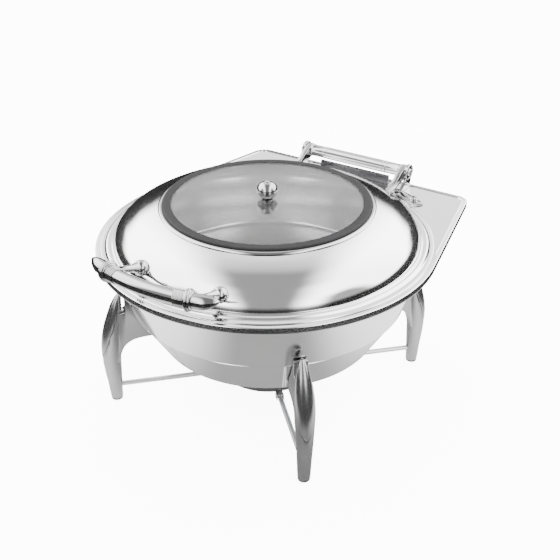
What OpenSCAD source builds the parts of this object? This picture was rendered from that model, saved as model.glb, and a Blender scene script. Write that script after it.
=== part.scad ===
// Roll top chafer: a round water pan and food pan on a four-legged stand, under a hinged lid
// with a glass window. The origin is on the table under the pans' centre, +Z is up, the handle
// is at -Y and the hinge at +Y. Sizes are in millimetres.

/* [Lid] */
// Outer radius of the lid
lid_r = 220; // [180:1:266]
// Width of the lid's flat outer edge
lid_edge_w = 7; // [5:1:10]
// Width of the raised bead between the edge and the cone
lid_bead_w = 10; // [8:1:14]
// Height of the bead over the edge's underside
lid_bead_h = 4.5; // [4:0.5:7]
// Height of the cone over the edge's underside
lid_cone_h = 47.5; // [35:0.5:60]
// Sheet thickness of the lid
lid_wall = 1.2; // [0.8:0.1:1.6]
// Radius of the window, to the outside of its chrome ring
window_r = 142; // [110:1:150]
// Width of the chrome ring round the window
window_ring_w = 5; // [4:0.5:7]
// Width of the black gasket inside the chrome ring
gasket_w = 12.3; // [9:0.1:16]
// Thickness of the window glass
glass_t = 3.5; // [3:0.5:5]
// Rise of the glass at its centre
glass_rise = 3.5; // [2:0.5:8]
// Clear height under the closed lid's edge
lid_gap = 0.5; // [0.3:0.1:1]

/* [Knob] */
// Radius of the knob on the window
knob_r = 13.9; // [10:0.1:18]
// Height of the knob without its button
knob_h = 23; // [16:0.5:28]
// Radius of the knob's screw
knob_screw_r = 2.5; // [2:0.1:3]

/* [Deck] */
// Height of the deck's top over the table
deck_z = 233; // [225:1:282]
// Thickness of the deck's sheet
deck_t = 1.2; // [1:0.1:2]
// Width of the rim that shows round the closed lid
deck_rim_w = 6; // [4:0.5:10]
// Depth of the deck's turned-down edge
deck_skirt_h = 9; // [6:0.5:12]
// How far in from the rim's radius the centres of the deck's back corners are
deck_corner_in = 63; // [50:1:80]
// Radius of the deck's back corners
deck_corner_r = 20; // [12:1:26]
// Width of the raised line round the hinge end of the deck
deck_bead_w = 3; // [2:0.5:4]
// Height of that raised line
deck_bead_h = 1; // [0.6:0.1:1.5]

/* [Pans] */
// How much narrower the water pan is at the step between its two tiers than at its top
water_upper_taper = 26; // [16:1:32]
// Depth of that step under the deck
water_step_depth = 80; // [68:1:90]
// How much narrower the flat bottom is than the step
water_lower_taper = 36; // [28:1:46]
// Depth of the bottom under the deck
water_depth = 141; // [130:1:150]
// Sheet thickness of the water pan
water_wall = 1.2; // [0.8:0.1:1.6]
// Width of the food pan's rim
food_rim_w = 14; // [10:1:18]
// Thickness of the food pan's rim and sheet
food_wall = 0.9; // [0.7:0.1:1.2]
// Depth of the food pan
food_depth = 73; // [55:1:78]
// How much narrower the food pan's floor is than its top
food_taper = 12; // [8:1:30]
// Clearance from the food pan's wall to the hole in the deck
food_gap = 8; // [3:1:11]

/* [Stand] */
// How far outside the water pan's top radius the feet stand
foot_out = 5.5; // [0:0.5:12]
// Half width of a leg at its foot
leg_foot_half = 8; // [7:0.5:10]
// Half width of a leg at its widest
leg_half = 13; // [11:0.5:16]
// Height of a rubber foot cap
foot_cap_h = 3; // [2:0.5:5]
// Thickness of the rubber seat pads
pad_t = 3; // [2:0.5:4]
// How far a pad stands out of its bracket
pad_proud = 1.5; // [1:0.1:2]
// Half width of a seat pad
pad_half = 8; // [5:0.5:9]
// Clearance between the pans and what holds them
seat_gap = 0.3; // [0.2:0.05:0.6]
// Radius of the two cross rods
rod_r = 3.5; // [3:0.1:5]
// Height of the rods' centreline
rod_z = 23; // [21:0.5:28]

/* [Burner] */
// Radius of the burner cup
cup_r = 72; // [55:1:90]
// Height of the burner cup
cup_h = 15; // [10:1:22]
// Sheet thickness of the burner cup
cup_wall = 1.2; // [0.8:0.1:2]
// Radius of the fuel can
can_r = 42; // [34:1:46]
// Clear height for the flame between the fuel can and the water pan
flame_room = 24; // [15:1:32]

/* [Hinge] */
// Distance from the lid's edge back to the hinge axis
hinge_back = 23.2; // [21:0.1:30]
// Distance from the hinge axis back to the deck's edge
deck_back_w = 13.6; // [12:0.1:20]
// Height of the hinge axis over the deck
hinge_h = 24; // [20:0.5:32]
// Radius of the hinge pin
pin_r = 3; // [2.5:0.1:4]
// Radial clearance round the hinge pin
pin_clear = 0.05; // [0.02:0.01:0.1]
// Radius of the hinge barrel
barrel_r = 9; // [8:0.1:10]
// Half length of the barrel's middle tube
barrel_half = 53; // [40:1:56]
// Half distance between the outer faces of the barrel's collars
collar_half = 76; // [70:1:80]
// Width of a lid arm
arm_w = 8; // [6:0.5:10]
// Thickness of a bracket's ear
ear_t = 5.5; // [4:0.5:7]
// Radius of a bracket's ear
ear_r = 11.6; // [10:0.1:13]
// Sideways clearance between a lid arm and an ear
ear_gap = 0.4; // [0.3:0.1:0.8]

/* [Handle] */
// Radius of the handle's grip
grip_r = 8.8; // [7:0.1:10]
// Distance from the lid's edge out to the grip's centreline
grip_out = 28; // [22:0.5:34]
// Height of the grip over the deck
grip_h = 42; // [36:0.5:50]
// Half length of the grip up to its pointed ends
grip_half = 74; // [68:1:80]
// Length of a pointed end
grip_tip = 20; // [14:1:26]
// Distance from the centre to a handle arm
handle_arm_x = 58; // [50:1:62]
// Radius of a handle arm's rod
handle_rod_r = 4.6; // [3.5:0.1:6]
// Radius of the ball at a handle arm's foot
boss_r = 10; // [8:0.5:12]

/* [Hidden] */
$fn = 96;
cut = 1;

// Heights and radii that follow from the driving sizes
lid_z = deck_z + lid_gap;
crease_r = lid_r - lid_edge_w - lid_bead_w - 1;
crease_z = lid_z + 2.5;
cone_top_z = lid_z + lid_cone_h;
shell_hole_r = window_r - window_ring_w - gasket_w / 2;
food_rim_r = lid_r - lid_edge_w - 7;
food_top_r = food_rim_r - food_rim_w;
food_floor_r = food_top_r - food_taper;
deck_hole_r = food_top_r + food_gap;
deck_r = lid_r + deck_rim_w;
water_top_r = lid_r - lid_edge_w;
water_top_z = deck_z - deck_t;
water_step_r = water_top_r - water_upper_taper;
water_step_z = deck_z - water_step_depth;
water_floor_r = water_step_r - water_lower_taper;
water_floor_z = deck_z - water_depth;
foot_circle_r = water_top_r + foot_out;
hinge_y = lid_r + hinge_back;
hinge_z = deck_z + hinge_h;
deck_back_y = hinge_y + deck_back_w;
deck_line_in = 5;
deck_line_y = deck_back_y - deck_line_in - deck_bead_w;
leg_angles = [-135, -45, 135, 45];

// A smooth curve through hand-placed points, with n steps between neighbours
function curve_point(a, b, c, d, t) =
  0.5 * ((2 * b) + (c - a) * t + (2 * a - 5 * b + 4 * c - d) * t * t + (3 * b - a - 3 * c + d) * t * t * t);
function smooth_path(p, n) = concat(
  [for (i = [0:len(p) - 2], k = [0:n - 1])
    curve_point(p[max(i - 1, 0)], p[i], p[i + 1], p[min(i + 2, len(p) - 1)], k / n)],
  [p[len(p) - 1]]);
function reversed(p) = [for (i = [len(p) - 1:-1:0]) p[i]];
function arc_points(c, r, a0, a1, n) =
  [for (i = [0:n]) c + r * [cos(a0 + (a1 - a0) * i / n), sin(a0 + (a1 - a0) * i / n)]];

// ---------------------------------------------------------------- stand

// The water pan's lower tier runs straight from one of these points to the other
tier_low = [water_floor_r, water_floor_z + 3];
tier_high = [water_step_r - 2, water_step_z - 2];
tier_lean = atan((tier_high[1] - tier_low[1]) / (tier_high[0] - tier_low[0]));
function tier_r(z) = tier_low[0] + (z - tier_low[1]) / tan(tier_lean);
function wall_r(z) =
  water_step_r + (water_top_r - water_step_r) * (z - water_step_z) / (water_top_z - water_step_z);
// A point beside the lower tier at height z, off out from its surface
function beside_tier(z, off) = [tier_r(z) + off / sin(tier_lean), z];

horn_z = water_step_z + 19;
slot_z = water_step_z - 10;
finger_z = water_step_z + 12;
finger_in = wall_r(finger_z) + seat_gap + 1;
finger_t = 4;
slot_w = 3.5;
horn_in = finger_in + finger_t + slot_w;
seat_low_z = water_floor_z + 12;
seat_top_z = water_step_z - 4;
pad_low = [seat_low_z + 3, seat_low_z + 15];
pad_high = [seat_top_z - 15, seat_top_z - 3];

// A height on the leg, as a share of the way from the foot cap up to the horn's tip
function leg_at(share) = foot_cap_h + share * (horn_z - foot_cap_h);

// Back of the leg from the foot up to the horn's tip, out from the foot circle
horn_back = smooth_path([
  [foot_circle_r + 8.5, foot_cap_h], [foot_circle_r + 10.5, leg_at(0.17)],
  [foot_circle_r + 14, leg_at(0.37)], [foot_circle_r + 14, leg_at(0.52)],
  [foot_circle_r + 7.5, leg_at(0.71)], [foot_circle_r - 3.5, slot_z + 10], [horn_in, horn_z]], 5);
horn_front = smooth_path([
  [horn_in - 0.5, horn_z - 4], [horn_in, slot_z], [foot_circle_r - 15, leg_at(0.69)],
  [foot_circle_r - 14, leg_at(0.57)], [foot_circle_r - 11, leg_at(0.37)],
  [foot_circle_r - 9.5, leg_at(0.15)], [foot_circle_r - 8.5, foot_cap_h]], 4);
bracket_under = smooth_path([
  [foot_circle_r - 9, leg_at(0.37)], [foot_circle_r - 12.5, leg_at(0.45)],
  [foot_circle_r - 19, seat_low_z - 13], [foot_circle_r - 29, seat_low_z - 6],
  [foot_circle_r - 41, seat_low_z - 3], [tier_r(seat_low_z) + 4, seat_low_z - 2]], 4);
bracket_top = [
  beside_tier(seat_low_z, seat_gap + pad_proud), beside_tier(seat_top_z, seat_gap + pad_proud),
  [finger_in, finger_z], [finger_in + finger_t, finger_z - 2], [finger_in + finger_t, slot_z],
  [foot_circle_r - 6, slot_z], [foot_circle_r - 2, leg_at(0.37)]];
// Half of the leg's width against height, out to in
leg_width = smooth_path([
  [leg_foot_half, foot_cap_h], [leg_foot_half + 1.5, leg_at(0.16)], [leg_half - 2, leg_at(0.37)],
  [leg_half, leg_at(0.56)], [leg_half - 0.6, leg_at(0.72)], [leg_half - 4, slot_z + 5],
  [leg_half - 8, horn_z - 8], [0.8, horn_z]], 4);

module pad_solid(zs) {
  turn = pad_half / wall_r(zs[0]) * 180 / PI;
  rotate([0, 0, -turn])
    rotate_extrude(angle = 2 * turn)
      polygon([
        beside_tier(zs[0], seat_gap), beside_tier(zs[0], seat_gap + pad_t),
        beside_tier(zs[1], seat_gap + pad_t), beside_tier(zs[1], seat_gap)]);
}

module leg_side() {
  rotate([90, 0, 0]) {
    linear_extrude(height = 4 * leg_half, center = true)
      polygon(concat(horn_back, horn_front));
    linear_extrude(height = 4 * leg_half, center = true)
      polygon(concat(bracket_under, bracket_top));
  }
}

module leg_shape() {
  intersection() {
    leg_side();
    rotate([90, 0, 90])
      linear_extrude(height = 2 * foot_circle_r)
        polygon(concat(leg_width, [for (p = reversed(leg_width)) [-p[0], p[1]]]));
  }
}

stem_r = 3;
stem_h = 9;
rod_in_leg = 9;
rod_half = foot_circle_r - 9.5 + rod_in_leg;

module rod_bar() {
  translate([-rod_half, 0, rod_z])
    rotate([0, 90, 0])
      cylinder(h = 2 * rod_half, r = rod_r);
}

module leg(turn) {
  rotate([0, 0, turn])
    color("silver")
      difference() {
        leg_shape();
        pad_solid(pad_low);
        pad_solid(pad_high);
        rod_bar();
        translate([foot_circle_r, 0, foot_cap_h - cut])
          cylinder(h = stem_h + cut, r = stem_r);
      }
}

module leg_front_left() { leg(leg_angles[0]); }
module leg_front_right() { leg(leg_angles[1]); }
module leg_rear_left() { leg(leg_angles[2]); }
module leg_rear_right() { leg(leg_angles[3]); }

module foot_caps() {
  color("dimgray")
    for (turn = leg_angles)
      rotate([0, 0, turn])
        translate([foot_circle_r, 0, 0]) {
          cylinder(h = foot_cap_h, r = leg_foot_half);
          cylinder(h = foot_cap_h + stem_h, r = stem_r);
        }
}

module seat_pads() {
  color("dimgray")
    for (turn = leg_angles)
      rotate([0, 0, turn]) {
        pad_solid(pad_low);
        pad_solid(pad_high);
      }
}

rod_lap = rod_r + 0.2;
rod_plate_r = 12;
rod_plate_t = 2;
rod_plate_z = rod_z - rod_r - rod_plate_t;
rod_screw_r = 1.6;
rod_screw_head_r = 4;
rod_screw_head_h = 2;

module rod_screw_shank() {
  translate([0, 0, rod_plate_z])
    cylinder(h = rod_plate_t + 2 * rod_r - 1, r = rod_screw_r);
}

module lap_block(up) {
  translate([-rod_lap, -2 * rod_r, up ? rod_z : rod_z - 2 * rod_r])
    cube([2 * rod_lap, 4 * rod_r, 2 * rod_r]);
}

module cross_rod_a() {
  color("silver")
    rotate([0, 0, leg_angles[1]])
      difference() {
        rod_bar();
        lap_block(true);
        rod_screw_shank();
      }
}

module cross_rod_b() {
  color("silver")
    rotate([0, 0, leg_angles[3]])
      difference() {
        rod_bar();
        lap_block(false);
        rod_screw_shank();
      }
}

module rod_plate() {
  color("silver")
    difference() {
      translate([0, 0, rod_plate_z])
        cylinder(h = rod_plate_t, r = rod_plate_r);
      rod_screw_shank();
    }
}

module rod_screw() {
  color("gray") {
    rod_screw_shank();
    translate([0, 0, rod_plate_z - rod_screw_head_h])
      cylinder(h = rod_screw_head_h, r = rod_screw_head_r);
  }
}

// ---------------------------------------------------------------- burner

cup_z = rod_z + rod_r + seat_gap;
clip_w = 9;
clip_t = 1.5;
clip_out = 9;

module burner_cup() {
  color("dimgray")
    translate([0, 0, cup_z])
      difference() {
        cylinder(h = cup_h, r = cup_r);
        translate([0, 0, cup_wall])
          cylinder(h = cup_h, r = cup_r - cup_wall);
      }
}

// A saddle that straddles a rod beside the cup
module rod_clip() {
  half = rod_r + seat_gap;
  difference() {
    translate([cup_r - cup_wall, -half - clip_t, rod_z - rod_r])
      cube([clip_out + cup_wall, 2 * (half + clip_t), 2 * rod_r + seat_gap + clip_t]);
    translate([0, -half, rod_z - rod_r - cut])
      cube([cup_r + clip_out + cut, 2 * half, 2 * rod_r + seat_gap + cut]);
    cylinder(h = cup_z + cup_h, r = cup_r);
  }
}

module burner_clips() {
  color("silver")
    for (turn = leg_angles)
      rotate([0, 0, turn])
        rod_clip();
}

can_wall = 0.8;
can_top_room = 12;
can_z = cup_z + cup_wall;
can_h = water_floor_z - flame_room - can_z;

module fuel_can() {
  color("silver")
    translate([0, 0, can_z])
      difference() {
        cylinder(h = can_h, r = can_r);
        translate([0, 0, can_wall])
          cylinder(h = can_h, r = can_r - can_wall);
      }
}

module fuel_gel() {
  color("lightblue")
    translate([0, 0, can_z + can_wall])
      cylinder(h = can_h - can_wall - can_top_room, r = can_r - can_wall);
}

// ---------------------------------------------------------------- pans and deck

module water_pan() {
  tier = water_wall / sin(tier_lean);
  color("silver")
    rotate_extrude()
      polygon([
        [0, water_floor_z], [water_floor_r - 3, water_floor_z], tier_low,
        tier_high, [water_step_r, water_step_z],
        [water_top_r, water_top_z], [water_top_r - water_wall, water_top_z],
        [water_step_r - water_wall, water_step_z + 0.5],
        [water_step_r - 2 - tier, water_step_z - 1.5],
        [water_floor_r - tier, water_floor_z + 3], [water_floor_r - 3 - tier / 2, water_floor_z + water_wall],
        [0, water_floor_z + water_wall]]);
}

// Outline of the deck, moved in by d: a circle joined by tangents to two small corners
deck_corner = [deck_r - deck_corner_in, deck_back_y - deck_corner_r];
deck_tangent = atan2(deck_corner[1], deck_corner[0]) - acos((deck_r - deck_corner_r) / norm(deck_corner));
function deck_outline(d) = concat(
  arc_points([0, 0], deck_r - d, 180 - deck_tangent, 360 + deck_tangent, 120),
  arc_points(deck_corner, deck_corner_r - d, deck_tangent, 90, 10),
  arc_points([-deck_corner[0], deck_corner[1]], deck_corner_r - d, 90, 180 - deck_tangent, 10));

module deck() {
  skirt_z = deck_z - deck_skirt_h;
  color("silver")
    difference() {
      union() {
        translate([0, 0, skirt_z])
          linear_extrude(height = deck_skirt_h)
            polygon(deck_outline(0));
        translate([0, 0, deck_z - deck_t / 2])
          linear_extrude(height = deck_t / 2 + deck_bead_h)
            polygon(deck_outline(deck_line_in));
      }
      translate([0, 0, deck_z])
        linear_extrude(height = deck_bead_h + cut)
          polygon(deck_outline(deck_line_in + deck_bead_w));
      translate([0, 0, deck_z])
        cylinder(h = deck_bead_h + cut, r = lid_r + 2.5);
      translate([0, 0, skirt_z - cut])
        linear_extrude(height = deck_skirt_h - deck_t + cut)
          polygon(deck_outline(deck_t));
      translate([0, 0, skirt_z - cut])
        cylinder(h = deck_skirt_h + deck_bead_h + 2 * cut, r = deck_hole_r);
      for (side = [-1, 1])
        bolt_place(side)
          bolt_shank();
    }
}

module food_pan() {
  rim_z = deck_z + food_wall;
  floor_z = rim_z - food_depth;
  round = 8;
  color("gainsboro")
    rotate_extrude()
      polygon(concat(
        [[0, floor_z]],
        arc_points([food_floor_r - round, floor_z + round], round, -90, 0, 6),
        [[food_top_r, deck_z - 2], [food_top_r + 1, deck_z], [food_rim_r, deck_z],
         [food_rim_r, rim_z], [food_top_r, rim_z], [food_top_r - food_wall - 0.3, rim_z - 2]],
        arc_points([food_floor_r - round, floor_z + round], round - food_wall, 0, -90, 6),
        [[0, floor_z + food_wall]]));
}

// ---------------------------------------------------------------- hinge, fixed half

arm_gap = 0.3;
arm_in_x = collar_half;
ear_x = collar_half + arm_w + ear_gap;
foot_in_r = lid_r + 5;
foot_out_r = foot_in_r + 15;
foot_t = 3;
bolt_turn = 30.6;
bolt_r = 2.5;
bolt_head_r = 6;
bolt_head_h = 6;
bolt_shank_h = 10;

module bolt_place(side) {
  rotate([0, 0, 90 - side * bolt_turn])
    translate([foot_in_r + 6, 0, deck_z + foot_t])
      children();
}

module bolt_shank() {
  translate([0, 0, -bolt_shank_h])
    cylinder(h = bolt_shank_h, r = bolt_r);
}

module pin_solid(r, half) {
  translate([-half, hinge_y, hinge_z])
    rotate([0, 90, 0])
      cylinder(h = 2 * half, r = r);
}

module right_bracket() {
  color("silver")
    difference() {
      union() {
        translate([ear_x, 0, 0])
          rotate([90, 0, 90])
            linear_extrude(height = ear_t) {
              translate([hinge_y, hinge_z])
                circle(r = ear_r);
              polygon([
                [hinge_y - ear_r + 0.5, hinge_z - 3], [foot_in_r - 12, deck_z + foot_t],
                [foot_in_r - 12, deck_z], [deck_line_y - 0.6, deck_z],
                [hinge_y + ear_r - 2, hinge_z - 6]]);
            }
        translate([0, 0, deck_z])
          rotate([0, 0, 90 - bolt_turn - 3.4])
            rotate_extrude(angle = 14.5)
              translate([foot_in_r, 0])
                square([foot_out_r - foot_in_r, foot_t]);
      }
      pin_solid(pin_r, ear_x + ear_t);
      bolt_place(1)
        bolt_shank();
    }
}

module hinge_bracket_right() { right_bracket(); }
module hinge_bracket_left() { mirror([1, 0, 0]) right_bracket(); }

module hinge_bolts() {
  color("silver")
    for (side = [-1, 1])
      bolt_place(side) {
        bolt_shank();
        cylinder(h = bolt_head_h - 2, r = bolt_head_r);
        translate([0, 0, bolt_head_h - 2])
          cylinder(h = 2, r1 = bolt_head_r, r2 = bolt_head_r - 2);
      }
}

module hinge_nuts() {
  color("gray")
    for (side = [-1, 1])
      bolt_place(side)
        translate([0, 0, -foot_t - deck_t - 4])
          difference() {
            cylinder(h = 4, r = 4.6, $fn = 6);
            translate([0, 0, -bolt_shank_h])
              cylinder(h = 2 * bolt_shank_h, r = bolt_r);
          }
}

bridge_half = 58;
bridge_t = 4;
bridge_drop = 11;
bridge_y = hinge_y - bridge_t - 2;

module hinge_bridge() {
  color("gray")
    translate([-bridge_half, bridge_y, deck_z]) {
      cube([2 * bridge_half, bridge_t, hinge_h - bridge_drop]);
      cube([2 * bridge_half, deck_line_y - 0.6 - bridge_y, 2]);
    }
}

end_screw_r = 1.5;
end_screw_deep = 8;

module end_screw_shank(side) {
  translate([side * (ear_x + ear_t), hinge_y, hinge_z])
    rotate([0, -90 * side, 0])
      cylinder(h = end_screw_deep, r = end_screw_r);
}

module hinge_pin() {
  color("gray")
    difference() {
      pin_solid(pin_r, ear_x + ear_t);
      for (side = [-1, 1])
        end_screw_shank(side);
    }
}

module hinge_end_screws() {
  color("silver")
    for (side = [-1, 1]) {
      end_screw_shank(side);
      translate([side * (ear_x + ear_t), hinge_y, hinge_z])
        rotate([0, 90 * side, 0])
          difference() {
            cylinder(h = 1.6, r = 5);
            translate([0, 0, 0.8])
              cylinder(h = cut, r = 1.8);
          }
    }
}

// ---------------------------------------------------------------- lid

bead_r = lid_r - lid_edge_w - lid_bead_w / 2;
edge_top_z = lid_z + 1.6;
bead_top_z = lid_z + lid_bead_h;
shell_top_z = cone_top_z - 0.6;
// A radius on the cone, as a share of the way from the window down to the crease
function cone_at(share) = window_r + share * (crease_r - window_r);
// Outside of the cone from the window down to the crease, as radius and height
cone_outside = smooth_path([
  [window_r - 3, shell_top_z], [cone_at(0.43), shell_top_z - 10],
  [cone_at(0.79), crease_z + 22], [cone_at(0.94), crease_z + 12.5], [crease_r + 1, crease_z]], 4);
// Outside of the bead and the flat edge
rim_outside = [
  [crease_r + 2.5, crease_z + 0.6], [bead_r - 3, bead_top_z - 0.3], [bead_r, bead_top_z],
  [bead_r + 3.5, bead_top_z - 0.4], [lid_r - lid_edge_w + 1, edge_top_z],
  [lid_r - 1.5, edge_top_z], [lid_r, edge_top_z - 1], [lid_r, lid_z]];
rim_inside = [
  [lid_r - lid_edge_w - 1, lid_z], [bead_r + 2.9, bead_top_z - lid_wall - 0.4],
  [bead_r, bead_top_z - lid_wall], [bead_r - 2.4, bead_top_z - lid_wall - 0.4],
  [crease_r + 2.4, crease_z - lid_wall + 0.6]];

// A path moved in by d, square to itself
function inset_path(p, d) = [for (i = [0:len(p) - 1])
  let (way = p[min(i + 1, len(p) - 1)] - p[max(i - 1, 0)])
  p[i] + d * [way[1], -way[0]] / norm(way)];
cone_inside = concat([[shell_hole_r, shell_top_z - lid_wall]], inset_path(cone_outside, lid_wall));
lid_inside = concat(rim_inside, reversed(cone_inside));

module lid_solid() {
  rotate_extrude()
    polygon(concat([[0, lid_z], [0, shell_top_z]], cone_outside, rim_outside));
}

// The room under the lid's sheet
module lid_cavity() {
  rotate_extrude()
    polygon(concat([[0, lid_z]], lid_inside, [[0, shell_top_z - lid_wall]]));
}

module lid_shell() {
  color("silver")
    difference() {
      rotate_extrude()
        polygon(concat([[shell_hole_r, shell_top_z]], cone_outside, rim_outside, lid_inside));
      for (side = [-1, 1]) {
        arm_screw_shanks(side);
        handle_screw_shank(side);
      }
    }
}

gasket_lip = 1.2;
gasket_r = window_r - window_ring_w;
glass_r = gasket_r - gasket_w / 2 + 1;
glass_edge_z = shell_top_z + 0.8;
glass_ball_r = (glass_r * glass_r + glass_rise * glass_rise) / (2 * glass_rise);
function glass_lift(r) = sqrt(glass_ball_r * glass_ball_r - r * r) - (glass_ball_r - glass_rise);
glass_top_z = glass_edge_z + glass_t + glass_rise;

module glass_solid() {
  rings = 16;
  rotate_extrude()
    polygon(concat(
      [for (i = [0:rings]) [glass_r * i / rings, glass_edge_z + glass_lift(glass_r * i / rings)]],
      [for (i = [rings:-1:0])
        [glass_r * i / rings, glass_edge_z + glass_t + glass_lift(glass_r * i / rings)]]));
}

module window_ring() {
  color("silver")
    rotate_extrude()
      polygon([
        [gasket_r, shell_top_z], [window_r, shell_top_z - 0.001], [window_r, shell_top_z + 1],
        [window_r - 1.6, shell_top_z + 2.2], [gasket_r, shell_top_z + 2.6]]);
}

module window_gasket() {
  inner = gasket_r - gasket_w;
  lip_z = glass_edge_z + glass_t + gasket_lip;
  color("black")
    difference() {
      rotate_extrude()
        polygon([
          [inner + 1.4, shell_top_z], [gasket_r, shell_top_z], [gasket_r, lip_z - 1.4],
          [gasket_r - 1.4, lip_z], [inner + 2.4, lip_z], [inner, lip_z - 0.6], [inner, shell_top_z + 0.6]]);
      glass_solid();
    }
}

module knob_shank() {
  translate([0, 0, glass_top_z - glass_t - 6])
    cylinder(h = glass_t + 18, r = knob_screw_r);
}

washer_t = 0.8;
washer_r = 6.5;

module window_glass() {
  color("lightcyan", 0.35)
    difference() {
      glass_solid();
      knob_shank();
      translate([0, 0, glass_top_z - 0.4])
        cylinder(h = cut, r = washer_r);
      translate([0, 0, glass_top_z - glass_t - cut])
        cylinder(h = cut + 0.4, r = washer_r);
    }
}

module lid_knob() {
  base_z = glass_top_z - 0.4 + washer_t;
  mid_z = base_z + knob_h / 2 - 0.6;
  tall = knob_h / 2;
  steps = 20;
  color("silver")
    difference() {
      rotate_extrude()
        polygon(concat(
          [[0, base_z], [washer_r, base_z]],
          [for (i = [3:steps - 1]) let (a = -90 + 180 * i / steps)
            [knob_r * cos(a), mid_z + tall * sin(a)]],
          [[3, mid_z + tall], [2.6, mid_z + tall + 0.8], [0, mid_z + tall + 1.2]]));
      knob_shank();
    }
}

module knob_washers() {
  color("black")
    difference() {
      union() {
        translate([0, 0, glass_top_z - 0.4])
          cylinder(h = washer_t, r = washer_r);
        translate([0, 0, glass_top_z - glass_t + 0.4 - washer_t])
          cylinder(h = washer_t, r = washer_r);
      }
      knob_shank();
    }
}

module knob_screw() {
  under_z = glass_top_z - glass_t + 0.4 - washer_t;
  color("gray") {
    knob_shank();
    translate([0, 0, under_z - 3])
      cylinder(h = 3, r = 5);
  }
}

// ---------------------------------------------------------------- hinge, lid half

arm_eye_r = 10;
arm_foot_out = 16;
arm_screw_r = 2;
arm_screw_xs = [arm_in_x - 7, arm_in_x + 4];

module arm_screw_shanks(side) {
  for (x = arm_screw_xs)
    translate([side * x, sqrt(bead_r * bead_r - x * x), bead_top_z - lid_wall - cut / 4])
      cylinder(h = lid_wall + 4, r = arm_screw_r);
}

module right_arm() {
  foot_y = sqrt(bead_r * bead_r - arm_in_x * arm_in_x);
  color("silver")
    difference() {
      union() {
        translate([arm_in_x, 0, 0])
          rotate([90, 0, 90])
            linear_extrude(height = arm_w) {
              translate([hinge_y, hinge_z])
                circle(r = arm_eye_r);
              polygon(concat(
                smooth_path([
                  [hinge_y - 2, hinge_z + arm_eye_r - 0.4], [hinge_y - 18, hinge_z + 4],
                  [foot_y + 10, bead_top_z + 9], [foot_y - 8, bead_top_z + 7]], 4),
                [[foot_y - 10, lid_z + 1], [foot_y + 6, lid_z + 3]],
                smooth_path([
                  [foot_y + 8, bead_top_z + 1], [foot_y + 20, bead_top_z + 6],
                  [hinge_y - 12, hinge_z - 12.5], [hinge_y, hinge_z - arm_eye_r + 0.4]], 4)));
            }
        translate([arm_in_x - arm_foot_out + 3, foot_y - 8, lid_z + 1])
          cube([arm_foot_out + arm_w - 3, 17, bead_top_z + 3 - lid_z]);
      }
      lid_solid();
      pin_solid(pin_r + pin_clear, collar_half + arm_w + cut);
      arm_screw_shanks(1);
    }
}

module hinge_arm_right() { right_arm(); }
module hinge_arm_left() { mirror([1, 0, 0]) right_arm(); }

module arm_screws() {
  color("gray")
    for (side = [-1, 1]) {
      arm_screw_shanks(side);
      for (x = arm_screw_xs)
        intersection() {
          translate([side * x, sqrt(bead_r * bead_r - x * x), bead_top_z - lid_wall - 1.8])
            cylinder(h = 4, r = 3.2);
          lid_cavity();
        }
    }
}

damper_r = 6.4;
damper_in = 20;

module barrel_tube() {
  color("silver")
    difference() {
      pin_solid(barrel_r, barrel_half);
      pin_solid(damper_r, barrel_half + cut);
    }
}

module barrel_collars() {
  color("silver")
    for (side = [-1, 1])
      mirror([side < 0 ? 1 : 0, 0, 0])
        difference() {
          translate([barrel_half, hinge_y, hinge_z])
            rotate([0, 90, 0])
              union() {
                cylinder(h = collar_half - barrel_half, r = barrel_r - 0.3);
                translate([0, 0, collar_half - barrel_half - 2.5])
                  cylinder(h = 2.5, r = barrel_r + 0.3);
              }
          pin_solid(pin_r + pin_clear, collar_half + cut);
        }
}

module hinge_dampers() {
  color("dimgray")
    for (side = [-1, 1])
      mirror([side < 0 ? 1 : 0, 0, 0])
        difference() {
          translate([damper_in, hinge_y, hinge_z])
            rotate([0, 90, 0])
              cylinder(h = barrel_half - damper_in, r = damper_r);
          pin_solid(pin_r + pin_clear, barrel_half + cut);
        }
}

// ---------------------------------------------------------------- handle

grip_bow_r = lid_r + grip_out;
grip_z = deck_z + grip_h;
grip_turn = asin(grip_half / grip_bow_r);
function grip_point(x) = [x, -sqrt(grip_bow_r * grip_bow_r - x * x), grip_z];

// A bar bent round the lid's axis, from one angle to another either side of the front
module bow_bar(r, from, to) {
  translate([0, 0, grip_z])
    rotate([0, 0, -90 + from])
      rotate_extrude(angle = to - from)
        translate([grip_bow_r, 0])
          circle(r = r);
}

module handle_grip() {
  neck = 0.62;
  lap = 1;
  color("silver") {
    bow_bar(grip_r, -grip_turn, grip_turn);
    for (side = [-1, 1])
      translate(grip_point(side * grip_half))
        rotate([0, 0, side * grip_turn])
          rotate([0, 90 * side, 0])
            translate([0, 0, -lap]) {
              cylinder(h = lap + grip_tip * 0.6, r1 = grip_r - 0.3, r2 = grip_r * neck);
              translate([0, 0, lap + grip_tip * 0.6])
                cylinder(h = grip_tip * 0.4, r1 = grip_r * neck, r2 = 1);
            }
  }
}

wrap_t = 1.2;
wrap_len = 13;
knot_t = 4.5;
knot_half = 5.4;

module right_wrap() {
  color("silver")
    difference() {
      bow_bar(grip_r + wrap_t, asin((handle_arm_x - knot_half - wrap_len) / grip_bow_r),
        asin((handle_arm_x - knot_half) / grip_bow_r));
      bow_bar(grip_r, -grip_turn, grip_turn);
    }
}

module grip_wrap_right() { right_wrap(); }
module grip_wrap_left() { mirror([1, 0, 0]) right_wrap(); }

// Where a handle arm's ball sits on the cone
boss_cone_r = cone_at(0.883);
boss_y = -sqrt(boss_cone_r * boss_cone_r - handle_arm_x * handle_arm_x);
boss_z = crease_z + 18;
handle_screw_r = 2.5;

module boss_ball() {
  translate([handle_arm_x, boss_y, boss_z])
    sphere(r = boss_r);
}

module handle_screw_shank(side) {
  translate([side * handle_arm_x, boss_y, boss_z - boss_r])
    cylinder(h = boss_r + 4, r = handle_screw_r);
}

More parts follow.
